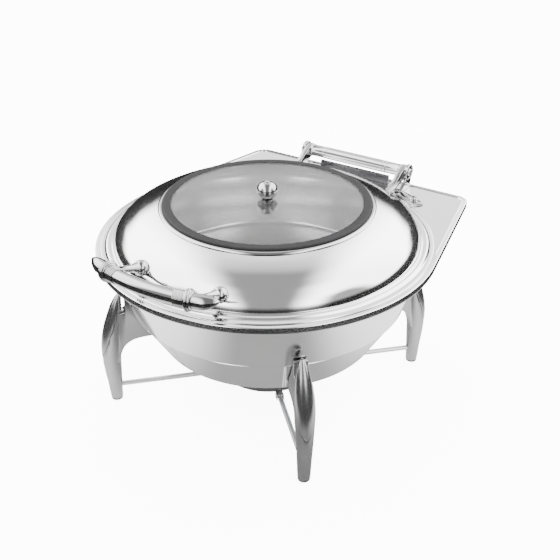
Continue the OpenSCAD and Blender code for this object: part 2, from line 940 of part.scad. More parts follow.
module right_handle_arm() {
  start = grip_point(handle_arm_x);
  end = [handle_arm_x, boss_y, boss_z + 1];
  way = end - start;
  color("silver")
    difference() {
      union() {
        bow_bar(grip_r + knot_t, asin((handle_arm_x - knot_half) / grip_bow_r),
          asin((handle_arm_x + knot_half) / grip_bow_r));
        translate(start)
          rotate([0, acos(way[2] / norm(way)), atan2(way[1], way[0])])
            cylinder(h = norm(way), r = handle_rod_r);
      }
      bow_bar(grip_r, -grip_turn, grip_turn);
      boss_ball();
      lid_solid();
    }
}

module handle_arm_right() { right_handle_arm(); }
module handle_arm_left() { mirror([1, 0, 0]) right_handle_arm(); }

module handle_bosses() {
  color("silver")
    for (side = [-1, 1])
      mirror([side < 0 ? 1 : 0, 0, 0])
        difference() {
          boss_ball();
          lid_solid();
          handle_screw_shank(1);
        }
}

module handle_screws() {
  color("gray")
    for (side = [-1, 1]) {
      handle_screw_shank(side);
      intersection() {
        translate([side * handle_arm_x, boss_y, boss_z - boss_r])
          cylinder(h = boss_r, r = 4.5);
        lid_cavity();
      }
    }
}

leg_front_left();
leg_front_right();
leg_rear_left();
leg_rear_right();
foot_caps();
seat_pads();
cross_rod_a();
cross_rod_b();
rod_plate();
rod_screw();
burner_cup();
burner_clips();
fuel_can();
fuel_gel();
water_pan();
deck();
food_pan();
hinge_bracket_left();
hinge_bracket_right();
hinge_bolts();
hinge_nuts();
hinge_bridge();
hinge_pin();
hinge_end_screws();
lid_shell();
window_ring();
window_gasket();
window_glass();
lid_knob();
knob_washers();
knob_screw();
hinge_arm_left();
hinge_arm_right();
arm_screws();
barrel_tube();
barrel_collars();
hinge_dampers();
handle_grip();
grip_wrap_left();
grip_wrap_right();
handle_arm_left();
handle_arm_right();
handle_bosses();
handle_screws();
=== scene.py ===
"""Looks of a round roll top chafer: its visible pieces, their finishes and a plain studio.

Sizes are in millimetres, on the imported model's own frame: the table is z = 0 under the middle
of the pans, the handle is at -Y and the hinge at +Y. The bench turns them into metres.
"""

import logging
import math
from dataclasses import dataclass
from enum import Enum
from typing import Any, Callable, Sequence

import bmesh
import bpy
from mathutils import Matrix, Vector


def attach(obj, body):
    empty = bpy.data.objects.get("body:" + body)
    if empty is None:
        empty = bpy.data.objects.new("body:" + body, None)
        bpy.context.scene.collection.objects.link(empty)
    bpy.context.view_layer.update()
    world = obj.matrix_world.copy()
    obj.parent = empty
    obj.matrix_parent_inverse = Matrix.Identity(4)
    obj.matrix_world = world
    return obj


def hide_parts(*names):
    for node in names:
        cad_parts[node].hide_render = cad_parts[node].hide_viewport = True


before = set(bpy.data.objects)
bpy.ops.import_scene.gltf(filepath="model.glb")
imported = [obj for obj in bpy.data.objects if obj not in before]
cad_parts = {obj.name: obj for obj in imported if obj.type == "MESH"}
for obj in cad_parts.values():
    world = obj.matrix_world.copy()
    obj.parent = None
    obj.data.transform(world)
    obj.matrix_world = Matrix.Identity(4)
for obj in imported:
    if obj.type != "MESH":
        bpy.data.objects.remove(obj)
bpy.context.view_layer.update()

MM = 0.001
MERGE = 0.004
SMOOTH_ANGLE = 32.0
HORN_ANGLE = 40.0
ROPE_ANGLE = 50.0
LID_ANGLE = 24.0
BOWL_ANGLE = 20.0
FINE_STEPS = 192
Flat = tuple[float, float]
Place = tuple[float, float, float]
Piece = bpy.types.Object
log = logging.getLogger("chafer")


class Body(Enum):
    """The moving groups that a piece can ride on."""

    STAND = "stand"
    BURNER = "burner"
    BASE = "chafer_base"
    LID = "lid"


class Slot(Enum):
    """The material slots of the part."""

    POLISHED = "polished_steel"
    CAST = "cast_steel"
    SATIN = "satin_steel"
    RUBBER = "black_rubber"
    GLASS = "clear_glass"
    DARK = "dark_steel"
    PLASTIC = "damper_plastic"
    GEL = "fuel_gel"


class Axis(Enum):
    """The line that a turned piece is spun about."""

    X = (1.0, 0.0, 0.0)
    Z = (0.0, 0.0, 1.0)


# ---------------------------------------------------------------- shader tools


class Wire:
    """A shader socket that can be used in sums, so that 1 - mask adds a Math node."""

    def __init__(self, recipe: "Recipe", socket: bpy.types.NodeSocket) -> None:
        """Keeps the socket and the recipe that its nodes go into."""
        self.recipe = recipe
        self.socket = socket

    def __add__(self, other: Any) -> "Wire":
        """This plus the other."""
        return self.recipe.maths("ADD", self, other)

    def __radd__(self, other: Any) -> "Wire":
        """The other plus this."""
        return self.recipe.maths("ADD", other, self)

    def __sub__(self, other: Any) -> "Wire":
        """This less the other."""
        return self.recipe.maths("SUBTRACT", self, other)

    def __rsub__(self, other: Any) -> "Wire":
        """The other less this."""
        return self.recipe.maths("SUBTRACT", other, self)

    def __mul__(self, other: Any) -> "Wire":
        """This times the other."""
        return self.recipe.maths("MULTIPLY", self, other)

    def __rmul__(self, other: Any) -> "Wire":
        """The other times this."""
        return self.recipe.maths("MULTIPLY", other, self)

    def __pow__(self, other: Any) -> "Wire":
        """This to the power of the other."""
        return self.recipe.maths("POWER", self, other)


class Recipe:
    """A node tree while it is being put together."""

    def __init__(self, tree: bpy.types.NodeTree) -> None:
        """Starts from an empty tree."""
        self.tree = tree
        tree.nodes.clear()

    def node(
        self,
        kind: str,
        settings: dict[str, Any] | None = None,
        values: dict[str | int, Any] | None = None,
    ) -> bpy.types.Node:
        """Adds one node.

        Args:
            kind: The node's type.
            settings: Its properties, set before its inputs.
            values: Its inputs by name or number, each a value, a Wire or a socket.

        Returns:
            The new node.
        """
        node = self.tree.nodes.new(kind)
        for key, value in (settings or {}).items():
            setattr(node, key, value)
        for key, value in (values or {}).items():
            socket = node.inputs[key]
            if isinstance(value, Wire):
                self.tree.links.new(value.socket, socket)
            elif isinstance(value, bpy.types.NodeSocket):
                self.tree.links.new(value, socket)
            else:
                socket.default_value = value
        return node

    def maths(self, operation: str, *values: Any) -> Wire:
        """Adds one Math node on numbers and wires, and returns its result."""
        node = self.node("ShaderNodeMath", {"operation": operation}, dict(enumerate(values)))
        return Wire(self, node.outputs[0])

    def step(self, value: Any, low: float, high: float) -> Wire:
        """A smooth step of a value from 0 at low to 1 at high."""
        node = self.node(
            "ShaderNodeMapRange",
            {"interpolation_type": "SMOOTHSTEP"},
            {"Value": value, "From Min": low, "From Max": high},
        )
        return Wire(self, node.outputs["Result"])

    def grey(self, level: Any) -> Wire:
        """A grey of the level that a wire gives."""
        node = self.node(
            "ShaderNodeCombineColor", None, {"Red": level, "Green": level, "Blue": level}
        )
        return Wire(self, node.outputs["Color"])

    def blend(self, share: Any, first: Any, second: Any) -> Wire:
        """A colour between two, by a share from 0 to 1."""
        node = self.node("ShaderNodeMix", {"data_type": "RGBA"}, {0: share, 6: first, 7: second})
        return Wire(self, node.outputs[2])

    def place(self) -> Wire:
        """The place on the piece, in metres on the part's frame."""
        return Wire(self, self.node("ShaderNodeTexCoord").outputs["Object"])

    def parts(self, vector: Wire) -> tuple[Wire, Wire, Wire]:
        """The three numbers of a vector."""
        node = self.node("ShaderNodeSeparateXYZ", None, {0: vector})
        return Wire(self, node.outputs[0]), Wire(self, node.outputs[1]), Wire(self, node.outputs[2])

    def combine(self, x: Any, y: Any, z: Any) -> Wire:
        """A vector from three numbers."""
        node = self.node("ShaderNodeCombineXYZ", None, {0: x, 1: y, 2: z})
        return Wire(self, node.outputs[0])

    def noise(self, vector: Wire, scale: float, detail: float = 3.0) -> Wire:
        """Soft noise from 0 to 1."""
        node = self.node(
            "ShaderNodeTexNoise", None, {"Vector": vector, "Scale": scale, "Detail": detail}
        )
        return Wire(self, node.outputs[0])

    def stretched(self, vector: Wire, scale: Place) -> Wire:
        """The place, with each axis scaled."""
        node = self.node("ShaderNodeMapping", None, {"Vector": vector, "Scale": scale})
        return Wire(self, node.outputs[0])

    def bump(self, height: Any, depth: float) -> Wire:
        """A normal from a height that is depth metres deep at 1."""
        node = self.node(
            "ShaderNodeBump", None, {"Height": height, "Distance": depth, "Strength": 1.0}
        )
        return Wire(self, node.outputs[0])

    def surface(self, constants: dict[str, Any], links: dict[str, Wire]) -> None:
        """Ends the tree in one Principled shader."""
        shader = self.node("ShaderNodeBsdfPrincipled", None, {**constants, **links})
        self.node("ShaderNodeOutputMaterial", None, {"Surface": shader.outputs[0]})


@dataclass(frozen=True)
class Finish:
    """A finish with a name, and the slot that it is meant for, which the code does not use."""

    name: str
    slot: Slot

    def material(self) -> bpy.types.Material:
        """The finish as a material, made the first time that it is asked for.

        Returns:
            The material.
        """
        found = bpy.data.materials.get(self.name)
        if found is None:
            found = bpy.data.materials.new(self.name)
            found.use_nodes = True
            self.build(Recipe(found.node_tree))
        return found

    def build(self, recipe: Recipe) -> None:
        """Fills the node tree."""
        raise NotImplementedError


@dataclass(frozen=True)
class SpunSteel(Finish):
    """Stainless sheet that was spun on a lathe about Z and polished, with faint ring marks."""

    shade: float = 0.8
    roughness: float = 0.08
    anisotropy: float = 0.4
    ring_depth: float = 0.000004

    def build(self, recipe: Recipe) -> None:
        """Rings in radius and height, soft hand marks, and anisotropy along the spin.

        Args:
            recipe: The empty node tree.
        """
        place = recipe.place()
        x, y, z = recipe.parts(place)
        radius = (x * x + y * y) ** 0.5
        travel = radius + z * 0.7
        wave = recipe.noise(recipe.combine(travel * 900, z * 40, 0.0), 1.0, 2.0)
        marks = recipe.noise(place, 14.0, 4.0)
        streak = recipe.step(recipe.noise(place, 55.0, 6.0), 0.62, 0.8)
        recipe.surface(
            {"Metallic": 1.0, "Anisotropic": self.anisotropy},
            {
                "Base Color": recipe.grey(self.shade - 0.03 + marks * 0.05 - streak * 0.02),
                "Roughness": self.roughness - 0.02 + marks * 0.04 + wave * 0.02 + streak * 0.02,
                "Normal": recipe.bump(wave, self.ring_depth),
            },
        )


@dataclass(frozen=True)
class CastSteel(Finish):
    """Cast stainless that was ground and buffed by hand, so it is never quite flat."""

    shade: float = 0.3
    roughness: float = 0.18
    wave_depth: float = 0.00012

    def build(self, recipe: Recipe) -> None:
        """Soft waves from grinding, buffing lines, and small pits.

        Args:
            recipe: The empty node tree.
        """
        place = recipe.place()
        waves = recipe.noise(place, 26.0, 1.0)
        lines = recipe.noise(recipe.stretched(place, (900.0, 900.0, 60.0)), 1.0, 2.0)
        pits = recipe.step(recipe.noise(place, 420.0, 2.0), 0.72, 0.84)
        recipe.surface(
            {"Metallic": 1.0},
            {
                "Base Color": recipe.grey(self.shade - 0.02 + waves * 0.04 - pits * 0.1),
                "Roughness": self.roughness - 0.03 + lines * 0.05 + waves * 0.05 + pits * 0.15,
                "Normal": recipe.bump(waves - pits * 0.05, self.wave_depth),
            },
        )


@dataclass(frozen=True)
class SatinSteel(Finish):
    """Drawn or turned stainless with fine lines along its length."""

    shade: float = 0.55
    roughness: float = 0.3

    def build(self, recipe: Recipe) -> None:
        """Fine lines and a soft change of shade.

        Args:
            recipe: The empty node tree.
        """
        place = recipe.place()
        lines = recipe.noise(recipe.stretched(place, (700.0, 700.0, 700.0)), 1.0, 3.0)
        soft = recipe.noise(place, 30.0, 2.0)
        recipe.surface(
            {"Metallic": 1.0},
            {
                "Base Color": recipe.grey(self.shade - 0.03 + soft * 0.06),
                "Roughness": self.roughness - 0.05 + lines * 0.1,
                "Normal": recipe.bump(lines, 0.000006),
            },
        )


@dataclass(frozen=True)
class MatteCoat(Finish):
    """Rubber, plastic or near-black steel: one colour with a fine grain."""

    colour: tuple[float, float, float] = (0.02, 0.02, 0.02)
    roughness: float = 0.55
    metallic: float = 0.0
    grain: float = 900.0
    grain_depth: float = 0.00002

    def build(self, recipe: Recipe) -> None:
        """A grain, and wear that lightens it in soft patches.

        Args:
            recipe: The empty node tree.
        """
        place = recipe.place()
        grain = recipe.noise(place, self.grain, 2.0)
        patch = recipe.noise(place, 40.0, 3.0)
        light = tuple(min(1.0, c * 1.8 + 0.003) for c in self.colour)
        recipe.surface(
            {"Metallic": self.metallic, "Specular IOR Level": 0.2},
            {
                "Base Color": recipe.blend(
                    recipe.step(patch, 0.35, 0.8) * 0.6 + grain * 0.2,
                    (*self.colour, 1.0),
                    (*light, 1.0),
                ),
                "Roughness": self.roughness - 0.06 + patch * 0.12,
                "Normal": recipe.bump(grain, self.grain_depth),
            },
        )


@dataclass(frozen=True)
class ClearGlass(Finish):
    """Toughened window glass, with a trace of wiping marks."""

    def build(self, recipe: Recipe) -> None:
        """Clear glass whose gloss changes a little over the pane."""
        wiped = recipe.noise(recipe.stretched(recipe.place(), (9.0, 22.0, 9.0)), 1.0, 3.0)
        recipe.surface(
            {"Transmission Weight": 1.0, "IOR": 1.45},
            {
                "Base Color": recipe.grey(0.97 + wiped * 0.02),
                "Roughness": wiped * 0.015,
            },
        )


@dataclass(frozen=True)
class FuelGel(Finish):
    """Pale blue gel with small bubbles."""

    def build(self, recipe: Recipe) -> None:
        """A cloudy blue with bubbles near the top.

        Args:
            recipe: The empty node tree.
        """
        place = recipe.place()
        cloud = recipe.noise(place, 60.0, 3.0)
        bubbles = recipe.step(recipe.noise(place, 260.0, 1.0), 0.6, 0.75)
        recipe.surface(
            {"Subsurface Weight": 0.2},
            {
                "Base Color": recipe.blend(cloud, (0.25, 0.5, 0.75, 1), (0.5, 0.72, 0.88, 1)),
                "Roughness": 0.2 + bubbles * 0.2,
                "Normal": recipe.bump(cloud + bubbles * 0.5, 0.0004),
            },
        )


MIRROR = SpunSteel("spun_mirror", Slot.POLISHED)
TURNED = CastSteel("turned_bright", Slot.POLISHED, shade=0.45, roughness=0.05, wave_depth=0.00001)
CAST = CastSteel("cast_buffed", Slot.CAST)
CAST_BRIGHT = CastSteel("cast_bright", Slot.CAST, shade=0.38, roughness=0.07, wave_depth=0.00004)
SATIN = SatinSteel("satin_drawn", Slot.SATIN)
# The food pan's spun steel gets a far darker grey than the outside steel: painted shade for the dim
# inside of the closed lid.
FOOD_PAN = SpunSteel("spun_satin_painted_shade", Slot.SATIN, shade=0.36, roughness=0.14, anisotropy=0.4)
RUBBER = MatteCoat("moulded_rubber", Slot.RUBBER, colour=(0.006, 0.006, 0.0065))
# Near-black sheet steel; on the burner cup this dark colour is painted shade for the shadow under
# the pans.
DARK = MatteCoat(
    "near_black_sheet", Slot.DARK, colour=(0.06, 0.06, 0.062), roughness=0.3, metallic=0.9
)
PLASTIC = MatteCoat("moulded_plastic", Slot.PLASTIC, colour=(0.05, 0.05, 0.055), roughness=0.45)
GLASS = ClearGlass("toughened_pane", Slot.GLASS)
GEL = FuelGel("burner_gel", Slot.GEL)


# ---------------------------------------------------------------- modelling tools


class Bench:
    """The modelling operators, each started from a known selection."""

    @staticmethod
    def clear() -> None:
        """Leaves edit mode and deselects everything."""
        if bpy.context.object is not None and bpy.context.object.mode != "OBJECT":
            bpy.ops.object.mode_set(mode="OBJECT")
        bpy.ops.object.select_all(action="DESELECT")

    @classmethod
    def take(cls, piece: Piece) -> None:
        """Selects one piece alone and makes it active.

        Args:
            piece: The piece.
        """
        cls.clear()
        piece.select_set(True)
        bpy.context.view_layer.objects.active = piece

    @classmethod
    def open(cls, piece: Piece) -> None:
        """Puts one piece in edit mode with all of it selected.

        Args:
            piece: The piece.
        """
        cls.take(piece)
        bpy.ops.object.mode_set(mode="EDIT")
        bpy.ops.mesh.select_mode(type="VERT")
        bpy.ops.mesh.select_all(action="SELECT")

    @staticmethod
    def close() -> None:
        """Goes back to object mode."""
        bpy.ops.object.mode_set(mode="OBJECT")

    @staticmethod
    def extrude(push: Sequence[float]) -> None:
        """Extrudes what is selected by a push in millimetres."""
        bpy.ops.mesh.extrude_region_move(TRANSFORM_OT_translate={"value": Vector(push) * MM})

    @staticmethod
    def spin(turn: float, steps: int, centre: Place, axis: Axis) -> None:
        """Spins what is selected about a line, anticlockwise, by an angle in degrees."""
        middle, angle = Vector(centre) * MM, -math.radians(turn)
        bpy.ops.mesh.spin(steps=steps, angle=angle, center=middle, axis=axis.value)

    @staticmethod
    def settle() -> None:
        """Applies the place, turn and size of what is selected."""
        bpy.ops.object.transform_apply(location=True, rotation=True, scale=True)

    @classmethod
    def pick_faces(cls, piece: Piece, wanted: Callable[[Vector, Vector], bool]) -> None:
        """Selects the faces of the open piece whose centre (mm) and normal pass a test.

        Args:
            piece: The piece, in edit mode.
            wanted: The test, given the face's centre in millimetres and its normal.
        """
        bpy.ops.mesh.select_mode(type="FACE")
        bpy.ops.mesh.select_all(action="DESELECT")
        mesh = bmesh.from_edit_mesh(piece.data)
        for face in mesh.faces:
            if wanted(face.calc_center_median() / MM, face.normal):
                face.select_set(True)
        bmesh.update_edit_mesh(piece.data)

    @classmethod
    def line(cls, name: str, points: Sequence[Place], closed: bool) -> Piece:
        """Draws a line of edges by extruding one vertex from place to place.

        Args:
            name: The piece's name.
            points: The places, in millimetres.
            closed: Whether an edge joins the last one to the first.

        Returns:
            The new object, with its origin at the frame's origin.
        """
        cls.clear()
        bpy.ops.mesh.primitive_plane_add(size=MM, location=(0, 0, 0))
        piece = bpy.context.object
        piece.name = piece.data.name = name
        bpy.ops.object.mode_set(mode="EDIT")
        bpy.ops.mesh.select_mode(type="VERT")
        bpy.ops.mesh.select_all(action="SELECT")
        bpy.ops.mesh.merge(type="CENTER")
        bpy.ops.transform.translate(value=Vector(points[0]) * MM)
        for start, end in zip(points, points[1:]):
            cls.extrude(Vector(end) - Vector(start))
        if closed:
            bpy.ops.mesh.select_all(action="DESELECT")
            mesh = bmesh.from_edit_mesh(piece.data)
            mesh.verts.ensure_lookup_table()
            mesh.verts[0].select_set(True)
            mesh.verts[len(mesh.verts) - 1].select_set(True)
            bmesh.update_edit_mesh(piece.data)
            bpy.ops.mesh.edge_face_add()
        cls.close()
        return piece

    @classmethod
    def tidy(cls, piece: Piece) -> None:
        """Merges doubles and turns every face outwards.

        Args:
            piece: The piece.
        """
        cls.open(piece)
        bpy.ops.mesh.remove_doubles(threshold=MERGE * MM)
        bpy.ops.mesh.normals_make_consistent(inside=False)
        cls.close()

    @classmethod
    def turned(
        cls,
        name: str,
        profile: Sequence[Flat],
        closed: bool = False,
        steps: int = 128,
        axis: Axis = Axis.Z,
        centre: Place = (0.0, 0.0, 0.0),
        turn: float = 360.0,
        start: float = 0.0,
    ) -> Piece:
        """Spins a profile about a line along X or Z.

        Args:
            name: The piece's name.
            profile: (radius, distance along the line) pairs.
            closed: Whether the profile is a loop that stays off the line.
            steps: The number of steps round.
            axis: The line's direction.
            centre: A point on the line, from which the distances run.
            turn: The angle spun, in degrees.
            start: The angle at which it starts, in degrees, about Z alone.

        Returns:
            The new object.
        """
        cx, cy, cz = centre
        if axis is Axis.Z:
            c, s = math.cos(math.radians(start)), math.sin(math.radians(start))
            points = [(cx + r * c, cy + r * s, cz + h) for r, h in profile]
        else:
            points = [(cx + h, cy, cz + r) for r, h in profile]
        piece = cls.line(name, points, closed)
        cls.open(piece)
        if turn < 360:
            bpy.ops.mesh.edge_face_add()
        cls.spin(turn, steps, centre, axis)
        cls.close()
        cls.tidy(piece)
        return piece

    @classmethod
    def slab(cls, name: str, outline: Sequence[Place], push: Place) -> Piece:
        """Fills a closed outline with a face and extrudes it.

        Args:
            name: The piece's name.
            outline: Its corners, in millimetres.
            push: How far the face is extruded, in millimetres.

        Returns:
            The new object.
        """
        piece = cls.line(name, outline, True)
        cls.open(piece)
        bpy.ops.mesh.edge_face_add()
        cls.extrude(push)
        cls.close()
        cls.tidy(piece)
        return piece

    @classmethod
    def lofted(cls, name: str, rings: Sequence[tuple[Place, float, float]], corners: int) -> Piece:
        """Extrudes a disc upwards from ring to ring, resizing each one.

        Args:
            name: The piece's name.
            rings: Each ring's centre, half depth along X and half width along Y.
            corners: The number of vertices round a ring.

        Returns:
            The new object.
        """
        cls.clear()
        bpy.ops.mesh.primitive_circle_add(
            vertices=corners, radius=MM, fill_type="NGON", location=(0, 0, 0)
        )
        piece = bpy.context.object
        piece.name = piece.data.name = name
        cls.open(piece)
        last, depth, width = rings[0]
        bpy.ops.transform.resize(value=(depth, width, 1))
        bpy.ops.transform.translate(value=Vector(last) * MM)
        for centre, next_depth, next_width in rings[1:]:
            cls.extrude(Vector(centre) - Vector(last))
            bpy.ops.transform.resize(
                value=(next_depth / depth, next_width / width, 1),
                center_override=Vector(centre) * MM,
            )
            last, depth, width = centre, next_depth, next_width
        cls.close()
        cls.tidy(piece)
        return piece

    @classmethod
    def modify(cls, piece: Piece, kind: str, **settings: Any) -> None:
        """Adds a modifier with its settings and applies it.

        Args:
            piece: The piece.
            kind: The modifier's type.
            **settings: Its properties.
        """
        cls.take(piece)
        modifier = piece.modifiers.new(kind.title(), kind)
        for key, value in settings.items():
            setattr(modifier, key, value)
        bpy.ops.object.modifier_apply(modifier=modifier.name)

    @classmethod
    def soften(cls, piece: Piece, width: float, segments: int = 2, angle: float = 30.0) -> None:
        """Rounds the edges that are sharper than an angle."""
        cls.modify(
            piece,
            "BEVEL",
            width=width * MM,
            segments=segments,
            limit_method="ANGLE",
            angle_limit=math.radians(angle),
        )

    @classmethod
    def combine(cls, piece: Piece, tool: Piece, how: str) -> None:
        """Unites a piece with another, or cuts the other out of it, and removes the other."""
        cls.modify(piece, "BOOLEAN", object=tool, operation=how, solver="EXACT")
        bpy.data.objects.remove(tool)

    @classmethod
    def smooth(cls, piece: Piece, angle: float = SMOOTH_ANGLE) -> None:
        """Shades smoothly across edges flatter than an angle."""
        cls.take(piece)
        bpy.ops.object.shade_smooth_by_angle(angle=math.radians(angle))

    @classmethod
    def copy(cls, piece: Piece, name: str, turn: float = 0.0, flip: bool = False) -> Piece:
        """Copies a piece with its own mesh, turned about Z or mirrored across X = 0.

        Args:
            piece: The piece.
            name: The copy's name.
            turn: The angle about Z, in degrees.
            flip: Whether the copy is the mirror image.

        Returns:
            The copy.
        """
        cls.take(piece)
        bpy.ops.object.duplicate()
        twin = bpy.context.object
        twin.name = twin.data.name = name
        twin.rotation_euler.z = math.radians(turn)
        twin.scale.x = -1.0 if flip else 1.0
        cls.settle()
        if flip:
            cls.open(twin)
            bpy.ops.mesh.normals_make_consistent(inside=False)
            cls.close()
        return twin

    @classmethod
    def turn(cls, piece: Piece, angle: float) -> None:
        """Turns a piece about Z, in degrees, and applies it.

        Args:
            piece: The piece.
            angle: The angle, in degrees.
        """
        cls.take(piece)
        piece.rotation_euler.z = math.radians(angle)
        cls.settle()

    @classmethod
    def place_at(cls, piece: Piece, place: Place, angles: Place = (0.0, 0.0, 0.0)) -> None:
        """Turns a piece by angles in degrees, moves it to a place in mm, and applies both.

        Args:
            piece: The piece.
            place: Where its origin goes, in millimetres.
            angles: Its turn about X, Y and Z, in degrees.
        """
        cls.take(piece)
        piece.rotation_euler = [math.radians(a) for a in angles]
        piece.location = Vector(place) * MM
        cls.settle()

    @classmethod
    def join(cls, name: str, pieces: Sequence[Piece]) -> Piece:
        """Joins pieces into the first one.

        Args:
            name: The joined piece's name.
            pieces: The pieces.

        Returns:
            The joined piece.
        """
        cls.clear()
        for piece in pieces:
            piece.select_set(True)
        bpy.context.view_layer.objects.active = pieces[0]
        if len(pieces) > 1:
            bpy.ops.object.join()
        pieces[0].name = pieces[0].data.name = name
        return pieces[0]

    @classmethod
    def around(cls, name: str, piece: Piece, angles: Sequence[float]) -> Piece:
        """Swaps a piece for copies of it at angles about Z, joined in one.

        Args:
            name: The joined piece's name.
            piece: The piece, which is removed.
            angles: The angles, in degrees.

        Returns:
            The joined piece.
        """
        copies = [cls.copy(piece, f"{name}_copy", angle) for angle in angles]
        bpy.data.objects.remove(piece)
        return cls.join(name, copies)

    @classmethod
    def paired(cls, name: str, right: Piece) -> Piece:
        """Joins a piece and its mirror image."""
        return cls.join(name, [right, cls.copy(right, f"{name}_left", flip=True)])


def smooth_line(points: Sequence[Flat], steps: int) -> list[Flat]:
    """A smooth curve through points, with some steps between neighbours.

    Args:
        points: The points.
        steps: The steps between one and the next.

    Returns:
        The curve's points.
    """
    line = []
    last = len(points) - 1
    for i in range(last):
        a, b = points[max(i - 1, 0)], points[i]
        c, d = points[i + 1], points[min(i + 2, last)]
        for k in range(steps):
            t = k / steps
            line.append(
                tuple(
                    0.5
                    * (
                        2 * b[n]
                        + (c[n] - a[n]) * t
                        + (2 * a[n] - 5 * b[n] + 4 * c[n] - d[n]) * t * t
                        + (3 * b[n] - a[n] - 3 * c[n] + d[n]) * t**3
                    )
                    for n in range(2)
                )
            )
    return [*line, tuple(points[last])]


def arc(centre: Flat, radius: float, start: float, end: float, steps: int) -> list[Flat]:
    """Points on an arc, with its angles in degrees."""
    angles = [math.radians(start + (end - start) * i / steps) for i in range(steps + 1)]
    return [(centre[0] + radius * math.cos(a), centre[1] + radius * math.sin(a)) for a in angles]


@dataclass
class SubAssembly:
    """What every sub-assembly does with a finished piece."""

    def fit(
        self,
        piece: Piece,
        body: Body,
        finish: Finish,
        replaced: Sequence[str],
        angle: float = SMOOTH_ANGLE,
    ) -> None:
        """Dresses a piece and fixes it to its body.

        Args:
            piece: The piece.
            body: The body that it moves with.
            finish: Its finish, which names its slot.
            replaced: The solids that it stands for.
            angle: The angle up to which its faces shade smoothly.
        """
        Bench.smooth(piece, angle)
        piece.data.materials.clear()
        piece.data.materials.append(finish.material())
        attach(piece, body.value)
        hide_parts(*replaced)
        log.info("%s on %s, %d faces", piece.name, body.value, len(piece.data.polygons))

    def fit_pair(self, right: Piece, node: str, ending: str, body: Body, angle: float) -> None:
        """Dresses a right-hand piece in bright casting, and its mirror image as well.

        Args:
            right: The right-hand piece.
            node: What the names of both solids start with.
            ending: What the names of both pieces end with.
            body: The body that they move with.
            angle: The angle up to which their faces shade smoothly.
        """
        left = Bench.copy(right, f"{node}_left_{ending}", flip=True)
        right.name = right.data.name = f"{node}_right_{ending}"
        self.fit(right, body, CAST_BRIGHT, [f"{node}_right"], angle)
        self.fit(left, body, CAST_BRIGHT, [f"{node}_left"], angle)

    def dress(self, finish: Finish, *nodes: str) -> None:
        """Gives solids that stay on show a finish."""
        for node in nodes:
            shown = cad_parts[node]
            shown.data.materials.clear()
            shown.data.materials.append(finish.material())


# ---------------------------------------------------------------- stand and burner


@dataclass
class Stand(SubAssembly):
    """Four cast legs on rubber feet, with arched brackets that hold the pan."""

    angles: tuple[float, ...] = (-135.0, -45.0, 135.0, 45.0)
    names: tuple[str, ...] = ("front_left", "front_right", "rear_left", "rear_right")
    foot_circle: float = 218.5
    bracket_half: float = 9.0
    facet_top: Flat = (205.0, 144.0)
    facet_foot: Flat = (232.0, 74.0)

    def leg(self) -> Piece:
        """One leg at angle 0: a lofted horn with a raised facet, and its bracket.

        Returns:
            The leg, on the +X side.
        """
        shape = [
            (3.0, 210.6, 226.4, 7.9), (4.2, 210.1, 226.9, 8.3), (14.0, 209.8, 227.8, 8.8),
            (29.0, 209.0, 229.0, 9.4), (45.0, 208.2, 231.0, 10.1), (60.0, 207.6, 232.3, 10.8),
            (75.0, 206.8, 232.6, 11.6), (91.0, 205.2, 232.2, 12.6), (107.0, 204.0, 229.8, 13.0),
            (123.0, 203.0, 225.8, 12.4), (138.0, 201.2, 220.4, 10.8), (149.0, 199.9, 216.1, 8.9),
            (157.0, 199.7, 212.3, 6.9), (164.0, 199.5, 207.8, 4.9), (168.5, 199.5, 204.2, 3.1),
            (171.0, 199.6, 201.7, 1.6), (172.0, 199.7, 200.5, 0.6),
        ]
        rings = [(((a + b) / 2, 0.0, z), (b - a) / 2, w) for z, a, b, w in shape]
        horn = Bench.lofted("leg", rings, 36)
        under = smooth_line(
            [(210, 64), (206, 79), (199.5, 91), (189.5, 98), (177.5, 101), (163, 102.2)], 4
        )
        over = [
            (159.2, 104.0), (186.2, 149.0), (192.4, 164.6), (194.5, 165.2), (196.2, 163.5),
            (196.3, 145.0), (198.0, 143.0), (208.0, 140.0), (216.0, 66.0),
        ]
        half = self.bracket_half
        outline = [(x, -half, z) for x, z in [*under, *over]]
        bracket = Bench.slab("bracket", outline, (0, 2 * half, 0))
        Bench.soften(bracket, 1.4, 3)
        Bench.combine(horn, bracket, "UNION")
        self.raise_facet(horn)
        return horn

    def raise_facet(self, horn: Piece) -> None:
        """Cuts the horn along a slanting plane and raises what lies outside it.

        Args:
            horn: The leg.
        """
        top, foot = Vector((*self.facet_top,)), Vector((*self.facet_foot,))
        along = foot - top
        normal = Vector((-along.y, 0.0, along.x)).normalized()
        point = Vector((top.x, 0.0, top.y))
        Bench.open(horn)
        bpy.ops.mesh.bisect(plane_co=point * MM, plane_no=normal)
        Bench.pick_faces(
            horn,
            lambda centre, way: (centre - point).dot(normal) > 0.02
            and way.x > -0.3
            and centre.z < 171.5,
        )
        for thickness, depth in ((0.5, -0.35), (0.6, 0.75)):
            bpy.ops.mesh.inset(
                thickness=thickness * MM, depth=depth * MM, use_even_offset=False
            )
        Bench.close()

    def foot_caps(self) -> Piece:
        """The four rubber feet, each with its stem up the leg.

        Returns:
            The piece.
        """
        profile = [
            (0, 0), (6.9, 0), (7.7, 0.5), (8.0, 1.3), (8.0, 2.4), (7.7, 2.9), (7.2, 3.0),
            (3.0, 3.0), (3.0, 11.4), (2.4, 12.0), (0, 12.0),
        ]
        cap = Bench.turned("cap", profile, steps=40, centre=(self.foot_circle, 0, 0))
        return Bench.around("foot_caps_rubber", cap, self.angles)

    def build(self) -> None:
        """Builds and dresses the whole stand."""
        leg = self.leg()
        for name, angle in zip(self.names, self.angles):
            copy = Bench.copy(leg, f"leg_{name}_cast", angle)
            self.fit(copy, Body.STAND, CAST, [f"leg_{name}"], HORN_ANGLE)
        bpy.data.objects.remove(leg)
        self.fit(self.foot_caps(), Body.STAND, RUBBER, ["foot_caps"])
        self.dress(RUBBER, "seat_pads")
        self.dress(SATIN, "cross_rod_a", "cross_rod_b", "rod_plate", "rod_screw")


